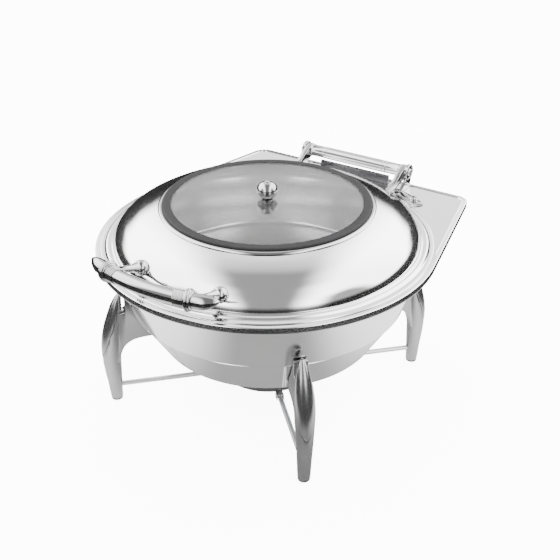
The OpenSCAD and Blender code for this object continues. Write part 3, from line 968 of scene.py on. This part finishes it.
@dataclass
class Burner(SubAssembly):
    """The cup that sits on the cross rods, its clips, and the fuel can in it."""

    cup_radius: float = 72.0
    cup_foot: float = 26.8
    cup_top: float = 41.8
    can_radius: float = 42.0
    can_foot: float = 28.0
    can_top: float = 68.0
    rod_height: float = 23.0
    clip_angles: tuple[float, ...] = (-135.0, -45.0, 135.0, 45.0)

    def cup(self) -> Piece:
        """A shallow pressed cup with a rolled lip.

        Returns:
            The piece.
        """
        r, foot, top = self.cup_radius, self.cup_foot, self.cup_top
        outside = [(0, foot), (r - 3.5, foot), (r - 1.4, foot + 0.5), (r - 0.4, foot + 1.6)]
        outside += [(r - 0.3, top - 3.2), *arc((r - 1.1, top - 1.1), 1.1, -60, 200, 8)]
        inside = [(r - 1.5, top - 2.6), (r - 1.5, foot + 2.6), (r - 2.4, foot + 1.5)]
        return Bench.turned("burner_cup_pressed", [*outside, *inside, (0, foot + 1.2)])

    def clips(self) -> Piece:
        """Four bent saddles over the rods beside the cup.

        Returns:
            The piece.
        """
        z = self.rod_height
        outline = [
            (-5.3, z - 3.5), (-5.3, z + 3.9), (-4.4, z + 5.1), (4.4, z + 5.1), (5.3, z + 3.9),
            (5.3, z - 3.5), (4.0, z - 3.5), (4.0, z + 3.3), (3.2, z + 3.8), (-3.2, z + 3.8),
            (-4.0, z + 3.3), (-4.0, z - 3.5),
        ]
        start = self.cup_radius - 0.9
        clip = Bench.slab("clip", [(start, y, h) for y, h in outline], (9.8, 0, 0))
        Bench.soften(clip, 0.35)
        return Bench.around("burner_clips_bent", clip, self.clip_angles)

    def can(self) -> Piece:
        """A can with a seam at its foot and a rolled mouth.

        Returns:
            The piece.
        """
        r, foot, top = self.can_radius, self.can_foot, self.can_top
        outside = [(0, foot + 0.6), (r - 3, foot + 0.6), (r - 2, foot), (r - 0.4, foot)]
        outside += [(r, foot + 0.6), (r, foot + 2.2), (r - 0.5, foot + 2.8), (r - 0.5, top - 3)]
        outside += arc((r - 1.2, top - 1.2), 1.2, -50, 200, 8)
        inside = [(r - 1.4, top - 3), (r - 1.4, foot + 1.6), (r - 2.0, foot + 1.2)]
        return Bench.turned("fuel_can_seamed", [*outside, *inside, (0, foot + 1.2)], steps=96)

    def build(self) -> None:
        """Builds and dresses the burner."""
        # The cup's near-black is painted shade, standing in for the shadow that it sits in under
        # the pans.
        self.fit(self.cup(), Body.BURNER, DARK, ["burner_cup"])
        self.fit(self.clips(), Body.BURNER, SATIN, ["burner_clips"])
        self.fit(self.can(), Body.BURNER, SATIN, ["fuel_can"])
        self.dress(GEL, "fuel_gel")


# ---------------------------------------------------------------- pans and deck


@dataclass
class Pans(SubAssembly):
    """The water pan, the food pan in it, and the deck that both hang from."""

    deck_top: float = 233.0
    deck_radius: float = 226.0
    deck_hole: float = 200.0
    corner: Flat = (163.0, 236.8)
    corner_radius: float = 20.0
    skirt: float = 9.0
    sheet: float = 1.2
    line_in: float = 5.0
    line_width: float = 3.0
    line_height: float = 1.0
    line_clear: float = 222.5

    def water_pan(self) -> Piece:
        """A two-tier spun bowl, with a small bead at the step.

        Returns:
            The piece.
        """
        outside = [
            (0, 92), (140, 92), (146.5, 92.1), (149.2, 92.9), (151, 95), (184.6, 150.4),
            (184.2, 151.0), (184.3, 151.9), (186.4, 152.4), (187.3, 153.1), (187.7, 154.4),
            (213, 231.8),
        ]
        inside = [
            (211.8, 231.8), (186.4, 154.8), (185.6, 153.8), (183.6, 153.1), (182.9, 151.6),
            (149.7, 95.6), (148.4, 94), (146.2, 93.3), (140, 93.2), (0, 93.2),
        ]
        return Bench.turned("water_pan_spun", [*outside, *inside], steps=FINE_STEPS)

    def food_pan(self) -> Piece:
        """A straight-sided pan with a rolled rim on the deck.

        Returns:
            The piece.
        """
        top, floor = self.deck_top, self.deck_top - 72.1
        outside = [(0, floor), *arc((172, floor + 8), 8, -90, 0, 8)]
        outside += [(192, top - 2), (192.4, top - 0.6), (193.4, top), (205, top)]
        rim = [*arc((205.2, top + 0.45), 0.45, -70, 90, 4), (193, top + 0.9)]
        inside = [(191.6, top + 0.3), (190.9, top - 1.2), *arc((172, floor + 8), 7.1, 0, -90, 8)]
        pan = [*outside, *rim, *inside, (0, floor + 0.9)]
        return Bench.turned("food_pan_spun", pan, steps=160)

    def outline(self, inset: float) -> list[Flat]:
        """The deck's outline moved in: a circle joined by tangents to two small corners.

        Args:
            inset: How far it is moved in, in millimetres.

        Returns:
            The outline's corners.
        """
        r, small = self.deck_radius - inset, self.corner_radius - inset
        x, y = self.corner
        reach = math.hypot(x, y)
        tangent = math.degrees(math.atan2(y, x) - math.acos((r - small) / reach))
        front = arc((0, 0), r, 180 - tangent, 360 + tangent, 144)
        right = arc((x, y), small, tangent, 90, 14)
        left = arc((-x, y), small, 90, 180 - tangent, 14)
        return [*front, *right, *left]

    def ring_tool(self, name: str, radius: float, low: float, high: float) -> Piece:
        """A fine round cutter."""
        profile = [(0, low), (radius, low), (radius, high), (0, high)]
        return Bench.turned(name, profile, steps=FINE_STEPS)

    def deck(self) -> Piece:
        """The deck: a sheet with a turned-down edge, a raised line and a round hole.

        Returns:
            The piece.
        """
        low = self.deck_top - self.skirt
        shell = Bench.slab(
            "deck_pressed", [(x, y, low) for x, y in self.outline(0)], (0, 0, self.skirt)
        )
        Bench.soften(shell, 1.3, 4, 60)
        room = Bench.slab(
            "deck_room",
            [(x, y, low - 1) for x, y in self.outline(self.sheet)],
            (0, 0, self.skirt - self.sheet + 1),
        )
        Bench.combine(shell, room, "DIFFERENCE")
        line = self.raised_line()
        Bench.combine(shell, line, "UNION")
        top = self.deck_top + 3
        Bench.combine(shell, self.ring_tool("hole", self.deck_hole, low - 2, top), "DIFFERENCE")
        return shell

    def raised_line(self) -> Piece:
        """The line that is pressed up round the hinge end, clear of the lid.

        Returns:
            The line, as a body of its own.
        """
        wide = [(x, y, self.deck_top - 0.5) for x, y in self.outline(self.line_in)]
        line = Bench.slab("deck_line", wide, (0, 0, 0.5 + self.line_height))
        Bench.soften(line, 0.7, 3, 60)
        inner = [
            (x, y, self.deck_top - 1) for x, y in self.outline(self.line_in + self.line_width)
        ]
        Bench.combine(line, Bench.slab("line_room", inner, (0, 0, 3)), "DIFFERENCE")
        low, high = self.deck_top - 1, self.deck_top + 3
        Bench.combine(line, self.ring_tool("line_end", self.line_clear, low, high), "DIFFERENCE")
        return line

    def build(self) -> None:
        """Builds and dresses the pans and the deck."""
        self.fit(self.water_pan(), Body.BASE, MIRROR, ["water_pan"], BOWL_ANGLE)
        self.fit(self.food_pan(), Body.BASE, FOOD_PAN, ["food_pan"])
        self.fit(self.deck(), Body.BASE, MIRROR, ["deck"])


# ---------------------------------------------------------------- hinge


@dataclass
class Hinge(SubAssembly):
    """The barrel and arms on the lid, and the brackets, bolts and bridge on the deck."""

    axis_y: float = 243.2
    axis_z: float = 257.0
    deck_top: float = 233.0
    barrel_radius: float = 9.0
    tube_half: float = 53.0
    collar_end: float = 76.0
    arm_width: float = 8.0
    ear_in: float = 84.4
    ear_width: float = 5.5
    ear_radius: float = 11.6
    foot_in: float = 225.0
    foot_out: float = 240.0
    bolt_ring: float = 231.0
    bolt_turn: float = 30.6

    def along(self, name: str, profile: Sequence[Flat], steps: int = 64) -> Piece:
        """Spins (radius, x) pairs about the hinge's axis."""
        centre = (0.0, self.axis_y, self.axis_z)
        return Bench.turned(name, profile, closed=True, steps=steps, axis=Axis.X, centre=centre)

    def tube(self) -> Piece:
        """The middle tube, with a groove near each end.

        Returns:
            The piece.
        """
        r, half = self.barrel_radius, self.tube_half
        right = [(r, half - 6), (r - 0.5, half - 5.6), (r - 0.5, half - 5.2), (r, half - 4.8)]
        right += [(r, half - 0.6), (r - 0.5, half)]
        outside = [*[(a, -x) for a, x in reversed(right)], *right]
        return self.along("barrel_tube_turned", [*outside, (6.6, half), (6.6, -half)])

    def collars(self) -> Piece:
        """The two collars that the arms are fixed to, each with a ring at its end.

        Returns:
            The piece.
        """
        start, end = self.tube_half, self.collar_end
        profile = [
            (3.1, start), (8.2, start), (8.7, start + 0.6), (8.7, end - 3.2), (8.9, end - 2.8),
            (9.3, end - 2.4), (9.3, end - 0.6), (8.9, end), (3.1, end),
        ]
        return Bench.paired("barrel_collars_turned", self.along("collar", profile))

    def arm(self) -> Piece:
        """The right lid arm: an arched strap from its foot on the lid up to the barrel.

        Returns:
            The piece.
        """
        y, z, x = self.axis_y, self.axis_z, self.collar_end
        crown = arc((y, z), 9.8, 108, -72, 20)
        under = smooth_line(
            [(y - 1, z - 9.8), (231, 245.2), (215, 241.6), (204.5, 237.4), (201.6, 236.3)], 5
        )
        over = smooth_line(
            [(185.2, 246.2), (195, 247.2), (207, 249.4), (222, 258.2), (y - 3.5, z + 9.2)], 5
        )
        outline = [(x, b, c) for b, c in [*crown, *under, (185.0, 240.5), *over]]
        strap = Bench.slab("arm", outline, (self.arm_width, 0, 0))
        foot = Bench.slab(
            "arm_foot",
            [(63, 186.6, 238.2), (63, 202.0, 236.6), (84, 202.0, 236.6), (84, 186.6, 239.4)],
            (0, 0, 4.4),
        )
        Bench.soften(foot, 1.0, 2, 40)
        Bench.soften(strap, 1.1, 3, 40)
        Bench.combine(strap, foot, "UNION")
        bore = [(0.2, x - 1), (3.05, x - 1), (3.05, x + 9), (0.2, x + 9)]
        hole = self.along("arm_hole", bore)
        Bench.combine(strap, hole, "DIFFERENCE")
        return strap

    def bracket(self) -> Piece:
        """The right bracket: a disc ear with a rim, on a neck and a foot plate.

        Returns:
            The piece.
        """
        start, r = self.ear_in, self.ear_radius
        end = start + self.ear_width
        disc = self.along(
            "ear",
            [
                (3.0, start), (r - 0.7, start), (r, start + 0.7), (r, end - 1.0), (r - 0.8, end),
                (r - 2.4, end), (r - 3.0, end - 0.7), (5.4, end - 0.7), (4.8, end), (3.0, end),
            ],
            72,
        )
        y, z, low = self.axis_y, self.axis_z, self.deck_top
        side = [
            (y - r + 1.4, z - 3), (232.5, 246), (222.5, 238.2), (213, 236), (213, low),
            (248.2, low), (y + r - 3, z - 7),
        ]
        neck = Bench.slab("neck", [(start + 0.3, b, c) for b, c in side], (4.6, 0, 0))
        Bench.soften(neck, 0.8, 2, 40)
        Bench.combine(disc, neck, "UNION")
        plate = Bench.turned(
            "foot_plate",
            [(self.foot_in, low), (self.foot_out, low), (self.foot_out, low + 3),
             (self.foot_in, low + 3)],
            closed=True, steps=12, turn=14.5, start=56.0,
        )
        Bench.soften(plate, 0.9, 2, 50)
        Bench.combine(disc, plate, "UNION")
        return disc

    def bolts(self) -> Piece:
        """Two cap bolts with a hexagon socket, on washers.

        Returns:
            The piece.
        """
        low = self.deck_top + 3
        profile = [
            (0, low - 8), (2.5, low - 8), (2.5, low), (7.0, low), (7.0, low + 0.9),
            (5.6, low + 1.0), (5.6, low + 4.6), (4.8, low + 5.8), (0, low + 5.8),
        ]
        bolt = Bench.turned("bolt", profile, steps=48, centre=(self.bolt_ring, 0, 0))
        socket = Bench.turned(
            "socket", [(0, low + 3), (2.6, low + 3), (2.6, low + 8), (0, low + 8)],
            steps=6, centre=(self.bolt_ring, 0, 0),
        )
        Bench.combine(bolt, socket, "DIFFERENCE")
        angles = (90 - self.bolt_turn, 90 + self.bolt_turn)
        return Bench.around("hinge_bolts_capped", bolt, angles)

    def bridge(self) -> Piece:
        """The bent web under the barrel, between the two brackets.

        Returns:
            The piece.
        """
        low = self.deck_top
        side = [
            (237.3, low), (237.3, low + 12.4), (238.2, low + 13), (240.4, low + 13),
            (241.2, low + 12.4), (241.2, low + 3.6), (242.6, low + 2), (248.2, low + 2),
            (248.2, low),
        ]
        web = Bench.slab("hinge_bridge_bent", [(-58, b, c) for b, c in side], (116, 0, 0))
        Bench.soften(web, 0.4, 2, 50)
        return web

    def end_screws(self) -> Piece:
        """The heads, each with a small round recess, that close the pin's ends.

        Returns:
            The piece.
        """
        x = self.ear_in + self.ear_width
        profile = [(0.0, x - 7), (1.5, x - 7), (1.5, x - 0.6), (4.6, x - 0.6), (4.9, x + 0.4)]
        profile += [(4.2, x + 1.3), (3.0, x + 1.6), (1.8, x + 1.6), (1.5, x + 0.7), (0.0, x + 0.7)]
        centre = (0.0, self.axis_y, self.axis_z)
        right = Bench.turned("end_screw", profile, steps=48, axis=Axis.X, centre=centre)
        return Bench.paired("hinge_end_screws_turned", right)

    def build(self) -> None:
        """Builds and dresses both halves of the hinge."""
        self.fit(self.tube(), Body.LID, TURNED, ["barrel_tube"])
        self.fit(self.collars(), Body.LID, TURNED, ["barrel_collars"])
        self.fit_pair(self.arm(), "hinge_arm", "cast", Body.LID, SMOOTH_ANGLE)
        self.fit_pair(self.bracket(), "hinge_bracket", "cast", Body.BASE, SMOOTH_ANGLE)
        self.fit(self.bolts(), Body.BASE, CAST_BRIGHT, ["hinge_bolts"])
        self.fit(self.bridge(), Body.BASE, DARK, ["hinge_bridge"])
        self.fit(self.end_screws(), Body.BASE, SATIN, ["hinge_end_screws"])
        self.dress(SATIN, "hinge_nuts", "hinge_pin", "arm_screws")
        self.dress(PLASTIC, "hinge_dampers")


# ---------------------------------------------------------------- lid


@dataclass
class Lid(SubAssembly):
    """The spun lid with its framed window and the knob on the glass."""

    gasket_outer: float = 137.0
    gasket_inner: float = 124.7
    seat: float = 280.4
    glass_radius: float = 131.85
    glass_edge: float = 281.2
    glass_sheet: float = 3.5
    glass_rise: float = 3.5
    knob_radius: float = 13.9
    knob_middle: float = 299.5
    knob_foot: float = 288.6

    def shell(self) -> Piece:
        """The lid's sheet: a cone, a crease, a bead and a flat edge.

        Returns:
            The piece.
        """
        cone = smooth_line(
            [(139, 280.4), (152, 276.4), (167.8, 270.4), (180, 264.2), (189.4, 258),
             (198.4, 248.5), (203, 236.2)], 5,
        )
        rim = [
            (203.8, 235.9), (204.6, 236.4), (205.4, 237.4), (206.8, 237.9), (208, 238),
            (209.8, 237.9), (211.4, 237.3), (212.6, 236), (213.6, 235.2), (218.2, 235.1),
            (219.4, 234.8), (220, 234.1), (219.9, 233.5),
        ]
        inside = [(212, 233.5), (210.6, 236.2), (208, 236.8), (205.8, 236.2), (204.2, 234.8)]
        shift = []
        for i in range(len(cone) - 1, -1, -1):
            a, b = cone[max(i - 1, 0)], cone[min(i + 1, len(cone) - 1)]
            length = math.hypot(b[0] - a[0], b[1] - a[1])
            across = (b[1] - a[1]) / length, -(b[0] - a[0]) / length
            shift.append((cone[i][0] + 1.2 * across[0], cone[i][1] + 1.2 * across[1]))
        shift[0] = (202.2, 235.4)
        profile = [(130.9, 280.4), *cone, *rim, *inside, *shift, (130.9, 279.2)]
        return Bench.turned("lid_shell_spun", profile, closed=True, steps=FINE_STEPS)

    def ring(self) -> Piece:
        """The bright ring round the gasket.

        Returns:
            The piece.
        """
        g, z = self.gasket_outer, self.seat
        profile = [
            (g, z), (g + 4.9, z), (g + 5, z + 0.8), (g + 4.4, z + 1.6), (g + 3.2, z + 2.3),
            (g + 1.6, z + 2.6), (g + 0.5, z + 2.5), (g, z + 2.1),
        ]
        return Bench.turned("window_ring_bright", profile, closed=True, steps=FINE_STEPS)

    def gasket(self) -> Piece:
        """The rubber gasket, with a lip over and under the glass.

        Returns:
            The piece.
        """
        a, b, z = self.gasket_inner, self.gasket_outer, self.seat
        profile = [
            (a + 1.2, z), (b, z), (b, z + 4.2), (b - 0.6, z + 5.1), (b - 1.8, z + 5.5),
            (b - 5, z + 5.4), (a + 3.2, z + 5.3), (a + 0.9, z + 5.0), (a, z + 4.4),
            (a + 0.1, z + 4.3), (a + 6.2, z + 4.2), (a + 6.2, z + 1.0), (a + 0.1, z + 0.9),
            (a + 0.2, z + 0.4),
        ]
        return Bench.turned("window_gasket_moulded", profile, closed=True, steps=FINE_STEPS)

    def glass(self) -> Piece:
        """The domed pane, drilled for the knob.

        Returns:
            The piece.
        """
        r, rise, edge = self.glass_radius, self.glass_rise, self.glass_edge
        ball = (r * r + rise * rise) / (2 * rise)

        def lift(radius: float) -> float:
            """The height of the dome over its edge."""
            return math.sqrt(ball * ball - radius * radius) - (ball - rise)

        radii = [2.5 + (r - 2.5) * i / 18 for i in range(19)]
        under = [(a, edge + lift(a)) for a in radii]
        over = [(a, edge + self.glass_sheet + lift(a)) for a in reversed(radii)]
        return Bench.turned("window_glass_domed", [*under, *over], closed=True, steps=160)

    def knob(self) -> Piece:
        """A ball with a seam near its foot and a button on top.

        Returns:
            The piece.
        """
        r, mid, foot = self.knob_radius, self.knob_middle, self.knob_foot
        lower = arc((0, mid), 1.0, -62, -34, 5)
        upper = arc((0, mid), 1.0, -28, 76, 18)
        tall = 11.5
        ball = [(r * x, mid + tall * (y - mid)) for x, y in lower]
        ball += [(r * 0.855, mid - tall * 0.52), (r * 0.855, mid - tall * 0.49)]
        ball += [(r * x, mid + tall * (y - mid)) for x, y in upper]
        button = [(3.1, mid + 11.2), (3.0, mid + 11.9), (2.4, mid + 12.5), (0, mid + 12.7)]
        profile = [(0, foot), (6.2, foot), (6.5, foot + 0.4), *ball, *button]
        return Bench.turned("lid_knob_turned", profile, steps=72)

    def build(self) -> None:
        """Builds and dresses the lid."""
        self.fit(self.shell(), Body.LID, MIRROR, ["lid_shell"], LID_ANGLE)
        self.fit(self.ring(), Body.LID, TURNED, ["window_ring"])
        self.fit(self.gasket(), Body.LID, RUBBER, ["window_gasket"])
        self.fit(self.glass(), Body.LID, GLASS, ["window_glass"])
        self.fit(self.knob(), Body.LID, CAST_BRIGHT, ["lid_knob"])
        self.dress(RUBBER, "knob_washers")
        self.dress(SATIN, "knob_screw")


# ---------------------------------------------------------------- handle


@dataclass
class Handle(SubAssembly):
    """The bowed grip, its rope wraps and knots, and the arms down to the lid."""

    bow: float = 248.0
    height: float = 275.0
    grip_radius: float = 8.8
    grip_turn: float = 17.36
    tip: float = 19.0
    grip_steps: int = 28
    grip_corners: int = 40
    wrap_first: float = 41.0
    wrap_pitch: float = 1.52
    wrap_turns: int = 8
    knot_first: float = 54.2
    knot_pitch: float = 1.95
    arm_x: float = 58.0
    boss: Place = (58.0, -186.2, 254.0)
    boss_radius: float = 10.0

    def angle_at(self, x: float) -> float:
        """The angle round the bow, from the front, at a distance from the middle."""
        return math.degrees(math.asin(x / self.bow))

    def on_bow(self, ring: Piece, x: float) -> None:
        """Moves a ring that was made about the X axis to its place on the bow."""
        Bench.place_at(ring, (0.0, -self.bow, self.height))
        Bench.turn(ring, self.angle_at(x))

    def grip(self) -> Piece:
        """A bar bent round the lid, drawn out to a point at each end.

        Returns:
            The piece.
        """
        corners = self.grip_corners
        section = arc((0, 0), self.grip_radius, 0, 360 - 360 / corners, corners - 1)
        start = math.radians(-90 - self.grip_turn)
        points = [
            ((self.bow + a) * math.cos(start), (self.bow + a) * math.sin(start), self.height + b)
            for a, b in section
        ]
        bar = Bench.line("handle_grip_bowed", points, True)
        Bench.open(bar)
        bpy.ops.mesh.edge_face_add()
        Bench.spin(2 * self.grip_turn, self.grip_steps, (0, 0, 0), Axis.Z)
        Bench.close()
        Bench.tidy(bar)
        for side in (-1, 1):
            self.draw_out(bar, side)
        return bar

    def draw_out(self, bar: Piece, side: int) -> None:
        """Extrudes one end of the grip to a point that keeps level on top.

        Args:
            bar: The grip.
            side: 1 for its right end, -1 for its left.
        """
        turn = math.radians(-90 + side * self.grip_turn)
        end = Vector((self.bow * math.cos(turn), self.bow * math.sin(turn), self.height))
        way = Vector((-math.sin(turn), math.cos(turn), 0)) * side
        Bench.open(bar)
        Bench.pick_faces(
            bar, lambda centre, normal: (centre - end).length < 0.6 and normal.dot(way) > 0.9
        )
        size, here = 1.0, end.copy()
        for share, scale, lift in (
            (0.16, 0.95, 0.25), (0.32, 0.87, 0.6), (0.48, 0.75, 1.1), (0.63, 0.6, 1.7),
            (0.77, 0.43, 2.3), (0.89, 0.25, 2.8), (0.97, 0.1, 3.1), (1.0, 0.03, 3.2),
        ):
            there = end + way * self.tip * share + Vector((0, 0, lift))
            Bench.extrude(there - here)
            ratio = scale / size
            bpy.ops.transform.resize(value=(ratio, ratio, ratio), center_override=there * MM)
            size, here = scale, there
        Bench.close()

    def strand(self, name: str, radius: float, thick: float, lean: float) -> Piece:
        """One turn of rope about the X axis, leaning, its section a little longer along the axis
        than across.

        Args:
            name: The turn's name.
            radius: The radius to the middle of the rope.
            thick: The rope's radius.
            lean: How far it leans, in degrees.

        Returns:
            The ring, about the frame's origin.
        """
        profile = [(radius + thick * math.cos(a), thick * math.sin(a) * 1.05)
                   for a in (math.radians(360 * i / 10) for i in range(10))]
        ring = Bench.turned(name, profile, closed=True, steps=40, axis=Axis.X)
        Bench.place_at(ring, (0, 0, 0), (0, 0, lean))
        return ring

    def wrap(self) -> Piece:
        """Fine rope wound round the grip beside the knot.

        Returns:
            The right-hand wrap.
        """
        model = self.strand("strand", self.grip_radius + 0.35, 0.85, 9)
        turns = []
        for i in range(self.wrap_turns):
            turn = Bench.copy(model, f"turn_{i}")
            self.on_bow(turn, self.wrap_first + i * self.wrap_pitch)
            turns.append(turn)
        bpy.data.objects.remove(model)
        return Bench.join("grip_wrap_right_rope", turns)

    def arm(self) -> Piece:
        """The knot round the grip and the short arm that runs down to the lid.

        Returns:
            The right-hand arm.
        """
        knots = []
        for i, (radius, thick, lean) in enumerate(
            ((9.6, 1.5, 8), (10.9, 1.9, 5), (11.3, 1.9, -4), (10.6, 1.8, 4), (9.7, 1.5, -6))
        ):
            ring = self.strand(f"knot_{i}", radius, thick, lean)
            self.on_bow(ring, self.knot_first + i * self.knot_pitch)
            knots.append(ring)
        front = -self.bow * math.cos(math.asin(self.arm_x / self.bow))
        start = Vector((self.arm_x, front, self.height))
        end = Vector(self.boss) + Vector((0, 0, 1))
        way = end - start
        length = way.length
        profile = [
            (0, 6), (3.6, 6), (5.6, 9), (5.9, 12), (5.2, 16), (4.4, 22), (4.2, length * 0.5),
            (4.5, length - 18), (5.6, length - 13), (6.4, length - 10.4), (6.4, length - 9),
            (0, length - 8),
        ]
        rod = Bench.turned("rod", profile, steps=40)
        lean = math.degrees(math.acos(way.z / length))
        Bench.place_at(rod, start, (0, lean, math.degrees(math.atan2(way.y, way.x))))
        return Bench.join("handle_arm_right_cast", [*knots, rod])

    def bosses(self) -> Piece:
        """The two ball feet on the cone, each with a groove round it.

        Returns:
            The piece.
        """
        x, y, z = self.boss
        r = self.boss_radius
        angles = [math.radians(a) for a in range(-84, 90, 6)]
        ball = [(r * math.cos(a), r * math.sin(a)) for a in angles]
        groove = [(p if not -2.5 < p[1] < -0.5 else (p[0] - 0.7, p[1])) for p in ball]
        right = Bench.turned("boss", [(0, -r), *groove, (0, r)], steps=56, centre=(x, y, z))
        solid = Bench.turned(
            "under_cone",
            [
                (100, 200), (209, 200), (203, 236.1), (198.4, 248.4), (189.4, 257.9),
                (167.8, 270.3), (100, 270.3),
            ],
            closed=True,
        )
        Bench.combine(right, solid, "DIFFERENCE")
        return Bench.paired("handle_bosses_cast", right)

    def build(self) -> None:
        """Builds and dresses the handle."""
        self.fit(self.grip(), Body.LID, CAST_BRIGHT, ["handle_grip"], ROPE_ANGLE)
        self.fit_pair(self.wrap(), "grip_wrap", "rope", Body.LID, ROPE_ANGLE)
        self.fit_pair(self.arm(), "handle_arm", "cast", Body.LID, ROPE_ANGLE)
        self.fit(self.bosses(), Body.LID, CAST_BRIGHT, ["handle_bosses"])
        self.dress(SATIN, "handle_screws")


# ---------------------------------------------------------------- studio


@dataclass
class Studio:
    """A pale floor, soft lights, a graded surround and the camera."""

    camera_place: Place = (0.58774, -0.88280, 0.77806)
    camera_way: Place = (-0.46845, 0.72791, -0.50071)
    lens: float = 57.52
    sensor: float = 36.0
    floor_half: float = 15.0
    floor_glow: float = 4.0
    floor_white: float = 9.0
    backdrop: float = 12.5
    paper_sides: Flat = (0.08, 0.28)
    paper_reach: Flat = (0.3, 0.5)
    paper_middle: float = 0.55
    paper_bright: float = 2.2
    paper_fade: float = 0.985
    overhead: float = 0.5
    side_span: Flat = (0.2, 0.5)
    side_bright: float = 6.5
    away_span: Flat = (0.15, 0.6)
    away_bright: float = 2.0
    horizon_tilt: float = 0.18
    horizon_span: Flat = (0.02, 0.2)
    horizon_least: float = 0.008
    corner_side: Flat = (0.5, 0.7)
    corner_front: Flat = (0.1, 0.35)
    corner_up: Flat = (0.55, 0.8)
    corner_fade: float = 0.9
    lamp_place: Place = (-0.6, 0.9, 2.4)
    lamp_target: Place = (0.0, 0.0, 0.15)
    lamp_size: float = 1.6
    lamp_power: float = 40.0

    def facing(self, recipe: Recipe, vector: Wire) -> tuple[Wire, Wire, Wire]:
        """Splits a direction into how far it points to the front, to the right and up.

        Args:
            recipe: The node tree.
            vector: The direction or place.

        Returns:
            The three numbers.
        """
        x, y, z = recipe.parts(vector)
        fx, fy = self.camera_place[0], self.camera_place[1]
        size = math.hypot(fx, fy)
        fx, fy = fx / size, fy / size
        return x * fx + y * fy, x * -fy + y * fx, z

    def through(self, recipe: Recipe, paths: bpy.types.Node) -> Wire:
        """Picks the rays that come through glass with no mirror on their way.

        Args:
            recipe: The node tree.
            paths: Its Light Path node.

        Returns:
            1 for such a ray and 0 for the rest.
        """
        passed = Wire(recipe, paths.outputs["Is Transmission Ray"])
        mirrors = Wire(recipe, paths.outputs["Glossy Depth"])
        return passed * recipe.maths("LESS_THAN", mirrors, 0.5)

    def floor(self) -> Piece:
        """A wide pale floor, mirrored in the metal as a graded sheet that fades with distance.

        Returns:
            The floor.
        """
        Bench.clear()
        bpy.ops.mesh.primitive_plane_add(size=2 * self.floor_half, location=(0, 0, 0))
        floor = bpy.context.object
        floor.name = floor.data.name = "studio_floor"
        material = bpy.data.materials.new("floor_paper")
        material.use_nodes = True
        recipe = Recipe(material.node_tree)
        place = recipe.place()
        grain = recipe.noise(place, 3.0, 2.0)
        paper = recipe.node(
            "ShaderNodeBsdfPrincipled",
            None,
            {
                "Base Color": recipe.grey(0.9 + grain * 0.02),
                "Roughness": 0.9,
                "Emission Color": (1, 1, 1, 1),
                "Emission Strength": self.floor_white,
            },
        )
        front, side, _ = self.facing(recipe, place)
        reach = (front * front + side * side) ** 0.5
        glow = recipe.step(recipe.maths("ABSOLUTE", side), *self.paper_sides)
        level = self.paper_middle + glow * self.paper_bright
        level = level * (1 - recipe.step(reach, *self.paper_reach) * self.paper_fade)
        mirrored = recipe.node(
            "ShaderNodeEmission", None, {"Color": recipe.grey(1.0), "Strength": level}
        )
        paths = recipe.node("ShaderNodeLightPath")
        seen = Wire(recipe, paths.outputs["Is Glossy Ray"]) * (1 - self.through(recipe, paths))
        mix = recipe.node(
            "ShaderNodeMixShader", None, {0: seen, 1: paper.outputs[0], 2: mirrored.outputs[0]}
        )
        recipe.node("ShaderNodeOutputMaterial", None, {"Surface": mix.outputs[0]})
        floor.data.materials.append(material)
        return floor

    def surround(self) -> None:
        """The world: even light on matt things, and bright sides with a grey middle in metal."""
        world = bpy.data.worlds.new("studio_surround")
        bpy.context.scene.world = world
        world.use_nodes = True
        recipe = Recipe(world.node_tree)
        way = Wire(recipe, recipe.node("ShaderNodeTexCoord").outputs["Generated"])
        front, side, up = self.facing(recipe, way)
        lobes = recipe.step(recipe.maths("ABSOLUTE", side), *self.side_span)
        away = recipe.step(front * -1, *self.away_span)
        level = self.overhead + lobes * self.side_bright + away * self.away_bright
        over = up - self.horizon_tilt * recipe.maths("MAXIMUM", front * -1, 0.0)
        level = level * (self.horizon_least + recipe.step(over, *self.horizon_span))
        corner = recipe.step(recipe.maths("ABSOLUTE", side), *self.corner_side)
        corner = corner * recipe.step(front, *self.corner_front)
        low = 1 - recipe.step(up, *self.corner_up)
        level = level * (1 - corner * low * self.corner_fade)
        paths = recipe.node("ShaderNodeLightPath")
        matt = Wire(recipe, paths.outputs["Is Diffuse Ray"])
        camera = Wire(recipe, paths.outputs["Is Camera Ray"])
        seen = recipe.maths("MAXIMUM", camera, self.through(recipe, paths))
        lit = matt * self.floor_glow + seen * self.backdrop
        strength = lit + (1 - recipe.maths("MAXIMUM", matt, seen)) * level
        background = recipe.node(
            "ShaderNodeBackground", None, {"Color": (1, 1, 1, 1), "Strength": strength}
        )
        recipe.node("ShaderNodeOutputWorld", None, {"Surface": background.outputs[0]})

    def softbox(self) -> None:
        """Adds a square area light overhead that looks at the chafer."""
        light = bpy.data.lights.new("overhead_soft", "AREA")
        light.shape = "SQUARE"
        light.size = self.lamp_size
        light.energy = self.lamp_power
        lamp = bpy.data.objects.new("overhead_soft", light)
        bpy.context.scene.collection.objects.link(lamp)
        lamp.visible_glossy = False
        lamp.location = self.lamp_place
        way = Vector(self.lamp_target) - Vector(self.lamp_place)
        lamp.rotation_euler = way.to_track_quat("-Z", "Y").to_euler()

    def camera(self) -> None:
        """The camera, at the front right and above."""
        data = bpy.data.cameras.new("studio_camera")
        data.lens = self.lens
        data.sensor_width = self.sensor
        data.clip_end = 100
        camera = bpy.data.objects.new("studio_camera", data)
        bpy.context.scene.collection.objects.link(camera)
        camera.location = self.camera_place
        camera.rotation_euler = Vector(self.camera_way).to_track_quat("-Z", "Y").to_euler()
        bpy.context.scene.camera = camera

    def build(self) -> None:
        """Sets up everything round the chafer."""
        self.floor()
        self.surround()
        self.softbox()
        self.camera()


def main() -> None:
    """Builds every sub-assembly, dresses it, and sets the studio up round it."""
    logging.basicConfig(level=logging.INFO, format="%(name)s: %(message)s")
    for part in (Stand(), Burner(), Pans(), Hinge(), Lid(), Handle()):
        part.build()
    Studio().build()


if __name__ == "__main__":
    main()
